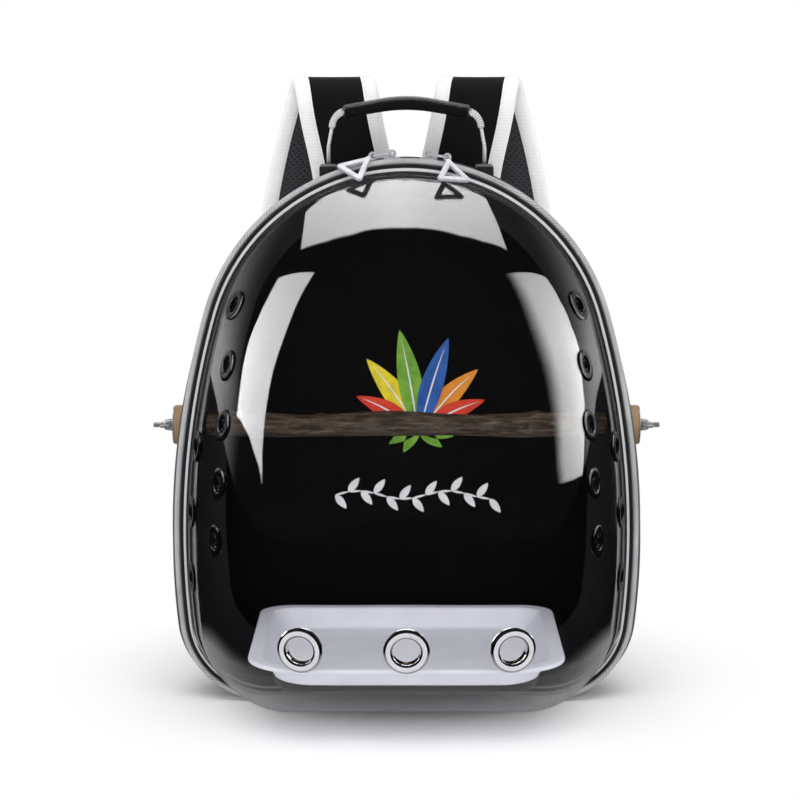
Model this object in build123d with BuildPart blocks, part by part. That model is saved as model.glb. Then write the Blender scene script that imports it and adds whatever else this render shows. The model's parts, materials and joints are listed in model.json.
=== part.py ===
from build123d import *

import os
from dataclasses import dataclass, replace
from math import asin, cos, degrees, radians, sin, sqrt

# Bird travel carrier, worn as a backpack: a clear domed shell zipped to a padded body, with a
# wooden perch bolted across the cabin and a tray on the floor. Millimetres, +Z up, +X to the
# wearer's side seen from the front, the shell facing -Y. The origin is the middle of the flat
# underside of the body, so the whole carrier stands on Z = 0.

# ---------------------------------------------------------------- driving dimensions
flange_y = -45.0  # the plane of the shell's flange, where shell and body meet

# The zip opening, an arch of tangent arcs (measured along the shell's rim)
rim_half_width = 161.8
rim_top = 391.8
rim_bottom = 8.0
rim_corner = 57.0
rim_shoulder = 74.0  # degrees of turn in the top arc
rim_flank = 22.3  # degrees of turn in each side arc

# Clear shell
shell_depth = 155.0
shell_wall = 1.5
shell_setback = 1.0  # the shell's side wall stands inside the rim line
flange_width = 2.8
flange_thickness = 1.5
nose_height = 130.0  # height of the foremost point of the dome
side_draft = 0.26
side_fullness = 4.0
top_draft = 0.38
top_fullness = 2.6
belly_rise = 6.0
belly_fullness = 4.0
dome_stations = (0.0, 0.2, 0.38, 0.54, 0.68, 0.79, 0.875, 0.935, 0.972, 0.9905, 0.9976)

# Binding and piping round the flange
binding_reach = 3.4
binding_thickness = 0.6
piping_radius = 2.1
piping_gap = 0.05
piping_setback = 1.0

# Zip
zip_swell = 2.8  # the zip stands out further at the sides than the piping
zip_shoulder = 71.0  # degrees
zip_flank = 26.7  # degrees
tooth_inner = 4.4
tooth_outer = 6.8
tooth_row = 1.6
zip_start = 5.0  # first row of teeth, behind the flange plane
zip_row_gap = 1.4
tape_thickness = 0.8
front_tape_start = 3.2
rear_tape_width = 6.0

# Body of the bag
gusset_wall = 4.5
gusset_lap = 6.2  # straight stretch that the rear tape is sewn to
gusset_half_width = 174.0
gusset_top = 397.8
gusset_bottom = -1.2
gusset_corner = 57.0
gusset_shoulder = 70.0  # degrees
gusset_flank = 26.5  # degrees
gusset_belly = 36.0
gusset_heel = 60.0
gusset_turn = 76.0
gusset_depth = 86.0
turn_inset = 14.0
turn_rise = 3.0
heel_inset = 1.4
back_half_width = 142.0
back_top = 368.0
back_bottom = 22.0
back_corner = 50.0
back_thickness = 5.0
back_setback = 1.0
back_piping_reach = 3.0
back_piping_depth = 4.0
pad_inset = 13.0
pad_top = 345.0
pad_bottom = 70.0
pad_thickness = 8.0
pad_channel = 14.0
body_clearance = 0.3

# Hinge strip under the shell
hinge_half_length = 80.0
hinge_height = 0.2
hinge_thickness = 0.9
hinge_back = 2.2

# Floor
board_half_width = 118.0
board_thickness = 9.6
board_corner = 20.0
board_margin = 2.0
mat_half_width = 106.0
mat_front = -68.0
mat_thickness = 25.4
mat_step = 6.0  # the mat clears the shell in front of the board
mat_corner = 26.0

# Tray
tray_half_width = 111.0
tray_front = -131.0
tray_back = 74.0
tray_corner = 24.0
tray_front_corner = 44.0
tray_rim = 9.0
tray_wall = 1.8
tray_height = 16.0
tray_taper = 9.0

# Front grommets and side vents
grommet_outer = 16.0
grommet_hole = 10.4
grommet_pitch = 72.5
grommet_height = 74.5
vent_outer = 11.5
vent_hole = 6.6
inner_vent_depth = 83.0
inner_vent_lowest = 137.0
inner_vent_pitch = 40.0
inner_vent_lean = 56.0  # the column comes back towards the rim as it rises
inner_vent_count = 5
outer_vent_depth = 19.0
outer_vent_lowest = 97.5
outer_vent_pitch = 48.0
outer_vent_count = 3
eyelet_flange = 1.0
eyelet_barrel = 0.7
eyelet_lift = 0.35
eyelet_clearance = 0.3
grommet_seat = 3.9  # from the shell's outside to the ring behind it, where the wall slopes
vent_seat = 2.2

# Perch
perch_depth = 35.0  # behind the flange plane
perch_height = 201.0
perch_radius = 9.0
perch_swell = 0.9
perch_stations = 11
bolt_radius = 2.0
bolt_grip = 25.0
bolt_reach = 16.6  # of the bolt, beyond the steel washer's seat
bolt_clearance = 0.05
bolt_hole_clearance = 0.5
spacer_radius = 8.0
seat_washer_radius = 14.5
steel_washer_radius = 14.0
steel_washer_thickness = 1.4
seat_washer_thickness = 3.75  # at its middle, on the slanting wall
perch_spacer_length = 15.1
nut_hub_radius = 4.6
nut_hub_length = 6.5
nut_span = 12.0
nut_wing_thickness = 2.2
nut_wing_rise = 4.0

# Carrying handle
handle_depth = 45.0
handle_half_foot = 57.0
handle_half_shoulder = 52.5
handle_shoulder_rise = 37.0
handle_crown_rise = 46.0
handle_shoulder_radius = 11.0
handle_crown_radius = 110.0
handle_foot_sink = 5.2  # of the foot, below the top of the body
webbing_thickness = 2.2
handle_width = 25.0
grip_half_length = 46.0
grip_thickness = 9.5
grip_width = 29.0
grip_round = 4.2
cuff_length = 11.0
cuff_growth = 1.2
handle_tab_length = 13.0
handle_tab_gap = 0.8

# Shoulder straps
strap_width = 60.0
strap_outer = 3.5  # from the strap line to the outer face
strap_inner = 5.5  # from the strap line to the face against the wearer
strap_edge = 10.5
strap_edge_growth = 0.9
strap_layer_gap = 0.3
strap_stations = 44
strap_taper_start = 0.84
strap_taper = 0.45
anchor_inset = 42.0  # from the side of the back to the webbing's foot
strap_anchor = back_half_width - anchor_inset
strap_points = (
    (36.5, 98.6, 350.0),
    (38.0, 98.5, 368.0),
    (41.5, 95.8, 390.0),
    (47.0, 94.6, 415.0),
    (51.0, 95.0, 437.0),
    (52.8, 98.5, 446.5),
    (55.0, 107.0, 450.5),
    (57.2, 115.5, 446.5),
    (60.0, 119.5, 436.0),
    (67.0, 124.5, 410.0),
    (75.0, 128.0, 375.0),
    (strap_anchor - 16.0, 129.0, 320.0),
    (strap_anchor - 9.0, 127.0, 255.0),
    (strap_anchor - 5.0, 123.0, 195.0),
    (strap_anchor - 4.5, 122.0, 153.5),
)
yoke_thickness = 3.0
yoke_inset = 4.0
yoke_bottom = 347.0
lower_webbing_width = 20.0
lower_webbing_thickness = 1.6
lower_webbing_stations = 12
lower_webbing_points = (
    (strap_anchor - 4.5, 122.0, 125.9),
    (strap_anchor - 3.8, 119.5, 112.0),
    (strap_anchor - 2.0, 109.5, 84.0),
    (strap_anchor - 0.5, 98.5, 58.0),
    (strap_anchor, 95.3, 46.0),
    (strap_anchor, 95.0, 36.0),
)
lock_width = 30.0
lock_height = 24.0
lock_thickness = 3.6
lock_bar = 3.2
loop_slack = 0.4
tab_width = 32.0
tab_height = 30.0
tab_thickness = 3.0
tab_bottom = 30.0

# Zip sliders and pulls
slider_half_length = 6.0
slider_plate = 1.2
slider_clearance = 0.45
slider_front_reach = 3.8
slider_outer_reach = 3.4
slider_inner_reach = 2.0
slider_neck = 0.7
lug_radius = 3.0
lug_hole = 1.5
lug_thickness = 1.6
lug_rise = 2.4
link_length = 15.0
link_wire = 1.4
link_width = 5.2
pull_thickness = 2.4
pull_bar = 4.2
pull_corner = 2.4
pull_neck = 1.2
pull_side = 27.5
eye_overlap = 0.6


@dataclass
class Pull:
    """How one zip pull lies, in degrees but for its place."""

    slider_offset: float  # from the middle of the zip
    link_heading: float  # forward of straight out to the side
    link_pitch: float  # below level
    tab_heading: float
    tab_pitch: float
    tab_roll: float  # how far its inner edge drops


left_pull = Pull(10.3, 21.5, 4.8, 35.6, 29.0, 27.0)
right_pull = Pull(15.9, 27.5, 6.3, 75.6, 39.0, 5.7)


# ---------------------------------------------------------------- outlines
@dataclass
class Arch:
    """A symmetrical arch of tangent arcs on a straight base, seen from the front."""

    half_width: float
    top: float
    bottom: float
    corner: float
    shoulder: float = rim_shoulder
    flank: float = rim_flank

    def grown(self, by):
        """The parallel arch, further out by this much all round."""
        return replace(
            self,
            half_width=self.half_width + by,
            top=self.top + by,
            bottom=self.bottom - by,
            corner=self.corner + by,
        )

    def radii(self):
        """Radii of the top arc and the side arcs that meet both the width and the height."""
        turn = radians(self.shoulder)
        end = radians(self.shoulder + self.flank)
        rise = self.top - self.bottom - self.corner * (1 + cos(end))
        top_rise, side_rise = 1 - cos(turn), cos(turn) - cos(end)
        top_run, side_run = sin(turn), 1 - sin(turn)
        scale = top_rise * side_run - side_rise * top_run
        top_radius = (rise * side_run - side_rise * self.half_width) / scale
        side_radius = (top_rise * self.half_width - rise * top_run) / scale
        return top_radius, side_radius

    def reach(self, height):
        """Half the arch's width at a height between its corners and its top arc."""
        top_radius, side_radius = self.radii()
        turn = radians(self.shoulder)
        middle_x = (top_radius - side_radius) * sin(turn)
        middle_z = self.top - top_radius + (top_radius - side_radius) * cos(turn)
        return middle_x + sqrt(side_radius**2 - (height - middle_z) ** 2)

    def crest(self, x):
        """The height of the arch's top arc at a distance from its middle."""
        top_radius, _ = self.radii()
        return self.top - top_radius + sqrt(top_radius**2 - x**2)


def behind(distance):
    """The plane parallel to the flange, this far behind it (in front of it if negative)."""
    return Plane.XZ.offset(-(flange_y + distance))


def add_arch(arch, mode=Mode.ADD):
    """Adds the arch's face to the current sketch."""
    top_radius, side_radius = arch.radii()
    with BuildLine(Plane.XY) as outline:
        crown = JernArc((0, arch.top), (1, 0), top_radius, -arch.shoulder)
        side = JernArc(crown @ 1, crown % 1, side_radius, -arch.flank)
        corner = JernArc(side @ 1, side % 1, arch.corner, arch.shoulder + arch.flank - 180)
        Line(corner @ 1, (0, arch.bottom))
        mirror(about=Plane.YZ)
    make_face(outline.edges(), mode=mode)


def add_ring(arch, inner, outer, front, back, mode=Mode.ADD):
    """Adds a band round the arch, between two growths and two distances behind the flange."""
    with BuildSketch(behind(back)) as band:
        add_arch(arch.grown(outer))
        add_arch(arch.grown(inner), mode=Mode.SUBTRACT)
    extrude(band.sketch, amount=back - front, mode=mode)


def keep(piece, name):
    """Labels a finished piece and writes its STEP file."""
    piece.part.label = name
    export_step(piece.part, f"parts/{name}.step")


os.makedirs("parts", exist_ok=True)

rim = Arch(rim_half_width, rim_top, rim_bottom, rim_corner)
zip_line = replace(
    rim, half_width=rim_half_width + zip_swell, shoulder=zip_shoulder, flank=zip_flank
)
zip_end = zip_start + 2 * tooth_row + zip_row_gap
body_front = zip_end + body_clearance / 2


# ---------------------------------------------------------------- clear front shell
def dome_arch(t, inset):
    """The dome's outline at the fraction t of its depth, inset by a wall thickness."""
    side = (1 - side_draft * t) * (1 - t**side_fullness) ** (1 / side_fullness)
    top = (1 - top_draft * t) * (1 - t**top_fullness) ** (1 / top_fullness)
    belly = (1 - t**belly_fullness) ** (1 / belly_fullness)
    edge = shell_setback + inset
    half_width = (rim_half_width - edge) * side
    floor = nose_height - rim_bottom - edge - belly_rise * t
    return Arch(
        half_width,
        nose_height + (rim_top - edge - nose_height) * top,
        nose_height - floor * belly,
        (rim_corner - edge) * side,
    )


def dome(inset):
    """The solid inside the dome's surface, inset by a wall thickness."""
    with BuildPart() as form:
        for t in dome_stations:
            with BuildSketch(behind(-t * (shell_depth - inset))):
                add_arch(dome_arch(t, inset))
        loft()
    return form


dome_form = dome(0)
dome_core = dome(shell_wall)
dome_skin = dome_form.part.shell()


def skin_plane(start, direction):
    """The plane touching the dome where a line from start first meets it, facing outwards."""
    hits = dome_skin.find_intersection_points(Axis(start, direction))
    point, normal = min(hits, key=lambda hit: (hit[0] - Vector(start)).length)
    if normal.dot(Vector(direction)) > 0:
        normal = -normal
    return Plane(origin=point, z_dir=normal)


grommet_planes = [
    skin_plane((x, flange_y - 2 * shell_depth, grommet_height), (0, 1, 0))
    for x in (-grommet_pitch, 0, grommet_pitch)
]
inner_vents = [
    (
        inner_vent_depth - inner_vent_lean * (i / (inner_vent_count - 1)) ** 2,
        inner_vent_lowest + i * inner_vent_pitch,
    )
    for i in range(inner_vent_count)
]
outer_vents = [
    (outer_vent_depth, outer_vent_lowest + i * outer_vent_pitch) for i in range(outer_vent_count)
]
vent_planes = [
    skin_plane((side * 2 * rim_half_width, flange_y - depth, height), (-side, 0, 0))
    for side in (-1, 1)
    for depth, height in inner_vents + outer_vents
]

with BuildPart() as front_shell:
    add(dome_form.part)
    add_ring(rim, -shell_setback - shell_wall, flange_width, -flange_thickness, 0)
    add(dome_core.part, mode=Mode.SUBTRACT)
    for plane in grommet_planes:
        with BuildSketch(plane.offset(grommet_hole)):
            Circle(grommet_hole)
        extrude(amount=-2 * grommet_hole, mode=Mode.SUBTRACT)
    for plane in vent_planes:
        with BuildSketch(plane.offset(vent_hole)):
            Circle(vent_hole)
        extrude(amount=-2 * vent_hole, mode=Mode.SUBTRACT)
keep(front_shell, "front_shell")


def eyelets(planes, hole, outer, seat):
    """A flanged eyelet through the shell at each plane."""
    barrel_outer = hole - eyelet_clearance
    with BuildPart() as rings:
        for plane in planes:
            with BuildSketch(plane.offset(eyelet_lift)):
                Circle(outer)
                Circle(barrel_outer - eyelet_barrel, mode=Mode.SUBTRACT)
            extrude(amount=eyelet_flange)
            with BuildSketch(plane.offset(eyelet_lift)):
                Circle(barrel_outer)
                Circle(barrel_outer - eyelet_barrel, mode=Mode.SUBTRACT)
            extrude(amount=-(eyelet_lift + seat + eyelet_flange))
    return rings


def eyelet_washers(planes, hole, outer, seat):
    """The ring behind the shell that each eyelet is clenched over."""
    with BuildPart() as washers:
        for plane in planes:
            with BuildSketch(plane.offset(-seat)):
                Circle(outer - eyelet_flange)
                Circle(hole, mode=Mode.SUBTRACT)
            extrude(amount=-eyelet_flange)
    return washers


keep(eyelets(grommet_planes, grommet_hole, grommet_outer, grommet_seat), "front_grommets")
keep(
    eyelet_washers(grommet_planes, grommet_hole, grommet_outer, grommet_seat),
    "front_grommet_washers",
)
keep(eyelets(vent_planes, vent_hole, vent_outer, vent_seat), "vent_eyelets")
keep(eyelet_washers(vent_planes, vent_hole, vent_outer, vent_seat), "vent_eyelet_washers")

# ---------------------------------------------------------------- flange trim and zip
with BuildPart() as shell_binding:
    add_ring(
        rim,
        flange_width - 1.8,
        flange_width + binding_thickness,
        -flange_thickness - binding_thickness,
        binding_thickness,
    )
    add_ring(rim, flange_width - 2.0, flange_width, -flange_thickness, 0, mode=Mode.SUBTRACT)
keep(shell_binding, "shell_binding")

piping_inner = binding_reach + piping_gap
with BuildPart() as shell_piping:
    add_ring(
        rim,
        piping_inner,
        piping_inner + 2 * piping_radius,
        piping_setback - piping_radius,
        piping_setback + piping_radius,
    )
    fillet(shell_piping.edges().filter_by(GeomType.CIRCLE), piping_radius * 0.62)
keep(shell_piping, "shell_piping")

tape_middle = (tooth_inner + tooth_outer) / 2
with BuildPart() as front_zip_tape:
    add_ring(
        zip_line,
        tape_middle - tape_thickness / 2,
        tape_middle + tape_thickness / 2,
        front_tape_start,
        zip_start,
    )
keep(front_zip_tape, "front_zip_tape")

with BuildPart() as front_zip_teeth:
    add_ring(zip_line, tooth_inner, tooth_outer, zip_start, zip_start + tooth_row)
keep(front_zip_teeth, "front_zip_teeth")

with BuildPart() as rear_zip_teeth:
    add_ring(zip_line, tooth_inner, tooth_outer, zip_end - tooth_row, zip_end)
keep(rear_zip_teeth, "rear_zip_teeth")

body_reach = tooth_outer - tape_thickness
with BuildPart() as rear_zip_tape:
    add_ring(zip_line, body_reach, tooth_outer, zip_end, zip_end + rear_tape_width)
keep(rear_zip_tape, "rear_zip_tape")

# ---------------------------------------------------------------- body of the bag
gusset_start = body_front + gusset_lap
belly_arch = Arch(
    gusset_half_width, gusset_top, gusset_bottom, gusset_corner, gusset_shoulder, gusset_flank
)
turn_arch = Arch(
    gusset_half_width - turn_inset,
    gusset_top - turn_inset + turn_rise,
    rim_bottom,
    gusset_corner,
    gusset_shoulder,
    gusset_flank,
)
back_arch = Arch(back_half_width, back_top, back_bottom, back_corner)
gusset_sections = (
    (gusset_start, zip_line.grown(body_reach)),
    (gusset_belly, belly_arch),
    (gusset_heel, belly_arch.grown(-heel_inset)),
    (gusset_turn, turn_arch),
    (gusset_depth, back_arch),
)


def body_form(inset):
    """The solid inside the gusset's surface, inset by its wall."""
    with BuildPart() as form:
        with BuildSketch(behind(gusset_start)):
            add_arch(zip_line.grown(body_reach - inset))
        extrude(amount=gusset_lap)
        for distance, arch in gusset_sections:
            with BuildSketch(behind(distance)):
                add_arch(arch.grown(-inset))
        loft()
    return form


body_outer = body_form(0)
body_inner = body_form(gusset_wall)

with BuildPart() as gusset:
    add(body_outer.part)
    add(body_inner.part, mode=Mode.SUBTRACT)
    split(bisect_by=Plane.XY, keep=Keep.TOP)
    for side in (-1, 1):
        with BuildSketch(Plane.YZ.offset(side * gusset_half_width)):
            with Locations((flange_y + perch_depth, perch_height)):
                Circle(bolt_radius + bolt_hole_clearance)
        extrude(amount=-side * 4 * gusset_wall, mode=Mode.SUBTRACT)
keep(gusset, "gusset")

back_face = gusset_depth + back_thickness
with BuildPart() as back_panel:
    with BuildSketch(behind(back_face)):
        add_arch(back_arch.grown(-back_setback))
    extrude(amount=back_thickness)
keep(back_panel, "back_panel")

with BuildPart() as back_piping:
    add_ring(
        back_arch, -back_setback, back_piping_reach, gusset_depth, gusset_depth + back_piping_depth
    )
keep(back_piping, "back_piping")

pad_back = back_face + pad_thickness
pad_outline = replace(back_arch.grown(-pad_inset), top=pad_top, bottom=pad_bottom)
with BuildPart() as back_pad:
    with BuildSketch(behind(pad_back)):
        add_arch(pad_outline)
        with Locations((0, (pad_top + back_bottom) / 2)):
            Rectangle(pad_channel, 2 * pad_top, mode=Mode.SUBTRACT)
    extrude(amount=pad_thickness)
    fillet(back_pad.faces().sort_by(Axis.Y)[-1].edges(), pad_thickness * 0.45)
keep(back_pad, "back_pad")

hinge_y = flange_y + zip_start + tooth_row + zip_row_gap / 2
with BuildPart() as hinge_strip:
    with BuildSketch(Plane.XY.offset(hinge_height)):
        with Locations((0, hinge_y + hinge_back / 2)):
            Rectangle(2 * hinge_half_length, hinge_back)
    extrude(amount=hinge_thickness)
keep(hinge_strip, "hinge_strip")

# ---------------------------------------------------------------- floor
floor_height = gusset_wall + body_clearance
board_front = body_front + board_margin
board_back = gusset_turn - board_margin
with BuildPart() as floor_board:
    with BuildSketch(Plane.XY.offset(floor_height)):
        with Locations((0, flange_y + (board_front + board_back) / 2)):
            RectangleRounded(2 * board_half_width, board_back - board_front, board_corner)
    extrude(amount=board_thickness)
    add(body_form(gusset_wall + body_clearance).part, mode=Mode.INTERSECT)
keep(floor_board, "floor_board")

mat_bottom = floor_height + board_thickness + body_clearance
mat_top = mat_bottom + mat_thickness
with BuildPart() as floor_mat:
    with BuildSketch(Plane.YZ.offset(-mat_half_width)):
        with BuildLine():
            Polyline(
                (flange_y + mat_front, mat_bottom + mat_step),
                (flange_y + board_front - mat_step / 2, mat_bottom + mat_step),
                (flange_y + board_front, mat_bottom),
                (flange_y + board_back, mat_bottom),
                (flange_y + board_back, mat_top),
                (flange_y + mat_front, mat_top),
                close=True,
            )
        make_face()
    extrude(amount=2 * mat_half_width)
    with BuildSketch(Plane.XY.offset(mat_bottom)):
        with Locations((0, flange_y + (mat_front + board_back) / 2)):
            RectangleRounded(2 * mat_half_width, board_back - mat_front, mat_corner)
    extrude(amount=mat_thickness, mode=Mode.INTERSECT)
    fillet(floor_mat.faces().sort_by(Axis.Z)[-1].edges(), mat_thickness * 0.2)
keep(floor_mat, "floor_mat")

# ---------------------------------------------------------------- tray
tray_base = mat_bottom + mat_thickness + body_clearance
tray_middle = flange_y + (tray_front + tray_back) / 2
tray_depth = tray_back - tray_front
well_inset = tray_rim + tray_taper


def add_tray_outline(inset):
    """Adds the tray's outline, inset from the rim, its front corners the rounder ones."""
    with BuildSketch(Plane.XY) as outline:
        with Locations((0, tray_middle)):
            Rectangle(2 * (tray_half_width - inset), tray_depth - 2 * inset)
        rows = outline.vertices().group_by(Axis.Y)
        fillet(rows[0], tray_front_corner - inset * 0.7)
        rows = outline.vertices().group_by(Axis.Y)
        fillet(rows[-1], tray_corner - inset * 0.7)
    add(outline.sketch)


with BuildPart() as tray:
    with BuildSketch(Plane.XY.offset(tray_base)):
        add_tray_outline(well_inset)
    with BuildSketch(Plane.XY.offset(tray_base + tray_height)):
        add_tray_outline(tray_rim)
    loft()
    with BuildSketch(Plane.XY.offset(tray_base + tray_height)):
        add_tray_outline(0)
    extrude(amount=-tray_wall)
    with BuildSketch(Plane.XY.offset(tray_base + tray_wall)):
        add_tray_outline(well_inset + tray_wall)
    with BuildSketch(Plane.XY.offset(tray_base + tray_height)):
        add_tray_outline(tray_rim + tray_wall)
    loft(mode=Mode.SUBTRACT)
keep(tray, "tray")

# ---------------------------------------------------------------- perch
perch_y = flange_y + perch_depth
wall_reach = belly_arch.reach(perch_height)
perch_half_length = wall_reach - gusset_wall - perch_spacer_length
washer_seat = wall_reach + seat_washer_thickness
bolt_tip = washer_seat + bolt_reach


def across(x):
    """The plane across the perch at x, with its local axes along Y and Z."""
    return Plane(origin=(x, perch_y, perch_height), x_dir=(0, 1, 0), z_dir=(1, 0, 0))


with BuildPart() as perch:
    for i in range(perch_stations):
        x = perch_half_length * (2 * i / (perch_stations - 1) - 1)
        with BuildSketch(across(x)):
            with Locations((perch_swell * sin(2.1 * i), perch_swell * cos(1.3 * i))):
                Circle(perch_radius + perch_swell * sin(1.7 * i))
    loft()
    for x, angle in ((-64.0, 60.0), (28.0, 200.0), (96.0, 100.0)):
        reach = perch_radius - 2 * perch_swell
        spot = across(x).from_local_coords((reach * cos(radians(angle)), reach * sin(radians(angle))))
        with Locations(spot):
            Sphere(perch_radius * 0.45)
    for side in (-1, 1):
        with BuildSketch(across(side * (perch_half_length + 5))):
            Circle(bolt_radius + bolt_clearance)
        extrude(amount=-side * (bolt_grip + 5.5), mode=Mode.SUBTRACT)
keep(perch, "perch")

with BuildPart() as perch_bolts:
    for side in (-1, 1):
        with BuildSketch(across(side * (perch_half_length - bolt_grip))):
            Circle(bolt_radius)
        extrude(amount=side * (bolt_tip - perch_half_length + bolt_grip))
keep(perch_bolts, "perch_bolts")

with BuildPart() as perch_spacers:
    for side in (-1, 1):
        with BuildSketch(across(side * (perch_half_length + body_clearance))):
            Circle(spacer_radius)
            Circle(bolt_radius + bolt_clearance, mode=Mode.SUBTRACT)
        extrude(amount=side * (washer_seat - perch_half_length))
    add(body_inner.part, mode=Mode.INTERSECT)
keep(perch_spacers, "perch_spacers")

with BuildPart() as seat_washers:
    for side in (-1, 1):
        with BuildSketch(across(side * washer_seat)):
            Circle(seat_washer_radius)
            Circle(bolt_radius + bolt_hole_clearance, mode=Mode.SUBTRACT)
        extrude(amount=-side * 2 * gusset_wall)
    add(body_outer.part, mode=Mode.SUBTRACT)
keep(seat_washers, "seat_washers")

steel_face = washer_seat + bolt_clearance + steel_washer_thickness
with BuildPart() as steel_washers:
    for side in (-1, 1):
        with BuildSketch(across(side * (washer_seat + bolt_clearance))):
            Circle(steel_washer_radius)
            Circle(bolt_radius + bolt_hole_clearance / 2, mode=Mode.SUBTRACT)
        extrude(amount=side * steel_washer_thickness)
keep(steel_washers, "steel_washers")


def wing_nut(side):
    """A wing nut on the bolt's free end, its hub against the steel washer and its wings level."""
    nut_face = side * (steel_face + body_clearance)
    with BuildPart() as nut:
        with BuildSketch(across(nut_face)):
            Circle(nut_hub_radius)
        extrude(amount=side * nut_hub_length)
        with BuildSketch(Plane.XY.offset(perch_height - nut_wing_thickness / 2)):
            for way in (-1, 1):
                with BuildLine():
                    Polyline(
                        (nut_face + side * 1.2, perch_y),
                        (nut_face + side * 2.4, perch_y + way * (nut_span - 4)),
                        (nut_face + side * (nut_hub_length - 0.5), perch_y + way * nut_span),
                        (nut_face + side * (nut_hub_length + nut_wing_rise), perch_y + way * (nut_span - 2)),
                        (nut_face + side * nut_hub_length, perch_y),
                        close=True,
                    )
                make_face()
        extrude(amount=nut_wing_thickness)
        with BuildSketch(across(nut_face - side)):
            Circle(bolt_radius + bolt_clearance)
        extrude(amount=side * 2 * nut_span, mode=Mode.SUBTRACT)
    return nut


keep(wing_nut(-1), "wing_nut_left")
keep(wing_nut(1), "wing_nut_right")

# ---------------------------------------------------------------- carrying handle
handle_y = flange_y + handle_depth
handle_foot_height = gusset_top - handle_foot_sink
fold_height = handle_foot_height + handle_width / 2


def add_handle_path():
    """Adds the handle's centre line, foot to foot over the top, to the current line."""
    return FilletPolyline(
        (-handle_half_foot, fold_height),
        (-handle_half_shoulder, handle_foot_height + handle_shoulder_rise),
        (0, handle_foot_height + handle_crown_rise),
        (handle_half_shoulder, handle_foot_height + handle_shoulder_rise),
        (handle_half_foot, fold_height),
        radius=[handle_shoulder_radius, handle_crown_radius, handle_shoulder_radius],
    )


def add_handle_band(thickness, width, mode=Mode.ADD):
    """Adds a band of this thickness and width that follows the handle's centre line."""
    with BuildSketch(Plane.XZ.offset(-handle_y - width / 2)) as band:
        with BuildLine():
            path = add_handle_path()
        trace(path, line_width=thickness)
    extrude(band.sketch, amount=width, mode=mode)


with BuildPart() as handle_webbing:
    add_handle_band(webbing_thickness, handle_width)
    for side in (-1, 1):
        foot = Plane(origin=(side * handle_half_foot, handle_y, fold_height), z_dir=(1, 0, 0))
        with BuildSketch(foot.offset(-webbing_thickness / 2)):
            Circle(handle_width / 2)
        extrude(amount=webbing_thickness)
keep(handle_webbing, "handle_webbing")

with BuildPart() as handle_grip:
    add_handle_band(grip_thickness, grip_width)
    with BuildSketch(Plane.YZ.offset(-grip_half_length)):
        with Locations((handle_y, handle_foot_height + handle_crown_rise)):
            Rectangle(3 * grip_width, 8 * grip_thickness)
    extrude(amount=2 * grip_half_length, mode=Mode.INTERSECT)
    fillet(handle_grip.edges().filter_by(lambda e: abs((e % 0.5).X) > 0.7), grip_round)
    add_handle_band(webbing_thickness + 0.2, handle_width + 0.2, mode=Mode.SUBTRACT)
keep(handle_grip, "handle_grip")

with BuildPart() as handle_cuffs:
    add_handle_band(webbing_thickness + 2 * cuff_growth, handle_width + cuff_growth)
    for side in (-1, 1):
        with BuildSketch(Plane.YZ.offset(side * (grip_half_length + 0.2))):
            with Locations((handle_y, handle_foot_height + handle_crown_rise)):
                Rectangle(3 * grip_width, 8 * grip_thickness)
        extrude(amount=-side * (grip_half_length + 0.2), mode=Mode.SUBTRACT)
    with BuildSketch(Plane.XY.offset(handle_foot_height + handle_shoulder_rise - cuff_length)):
        with Locations((0, handle_y)):
            Rectangle(4 * handle_half_foot, 3 * grip_width)
    extrude(amount=-4 * cuff_length, mode=Mode.SUBTRACT)
    add_handle_band(webbing_thickness + 0.1, handle_width + 0.1, mode=Mode.SUBTRACT)
keep(handle_cuffs, "handle_cuffs")

with BuildPart() as handle_tabs:
    for side in (-1, 1):
        with BuildSketch(Plane.XY.offset(handle_foot_height - handle_tab_gap)):
            with Locations((side * handle_half_foot, handle_y)):
                Rectangle(handle_tab_length, handle_width + 2)
        extrude(amount=-3 * gusset_wall)
    add(body_outer.part, mode=Mode.SUBTRACT)
keep(handle_tabs, "handle_tabs")

# ---------------------------------------------------------------- shoulder straps
with BuildPart() as strap_yoke:
    with BuildSketch(behind(back_face + yoke_thickness)):
        add_arch(back_arch.grown(-yoke_inset))
        with Locations((0, yoke_bottom - back_top)):
            Rectangle(4 * back_half_width, 2 * back_top, mode=Mode.SUBTRACT)
    extrude(amount=yoke_thickness)
keep(strap_yoke, "strap_yoke")


def strap_planes(points, side, count):
    """Planes along a smooth line through the points, each with its local X along +X."""
    with BuildLine(Plane.XY):
        path = Spline(
            *[(side * x, flange_y + y, z) for x, y, z in points],
            tangents=[(0, 0, 1 if points[1][2] > points[0][2] else -1), (0, 0, -1)],
        )
    planes = []
    for i in range(count):
        tangent = path % (i / (count - 1))
        heading_on = Vector(0, tangent.Y, tangent.Z)
        planes.append(
            Plane(origin=path @ (i / (count - 1)), x_dir=(1, 0, 0), z_dir=heading_on)
        )
    return planes


def strap_layer(side, bottom, top, growth=0.0, inner=0.0, edge=0):
    """One layer of a strap; with an edge of -1 or 1 it is the binding along that edge."""
    outlines = []
    for i, plane in enumerate(strap_planes(strap_points, side, strap_stations)):
        t = i / (strap_stations - 1)
        narrow = max(0.0, (t - strap_taper_start) / (1 - strap_taper_start))
        half = strap_width / 2 * (1 - strap_taper * narrow)
        wide = half + growth
        with BuildSketch(plane) as outline:
            with Locations((0, (bottom + top) / 2)):
                Rectangle(2 * wide, top - bottom + 2 * growth)
            if edge:
                with Locations((-edge * strap_edge, (bottom + top) / 2)):
                    Rectangle(2 * wide, 2 * (top - bottom), mode=Mode.SUBTRACT)
                with Locations((0, (bottom + top) / 2)):
                    Rectangle(2 * (half + inner), top - bottom + 2 * inner, mode=Mode.SUBTRACT)
        outlines.append(outline.sketch.face())
    with BuildPart() as layer:
        loft(outlines, ruled=True)
    return layer


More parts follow.
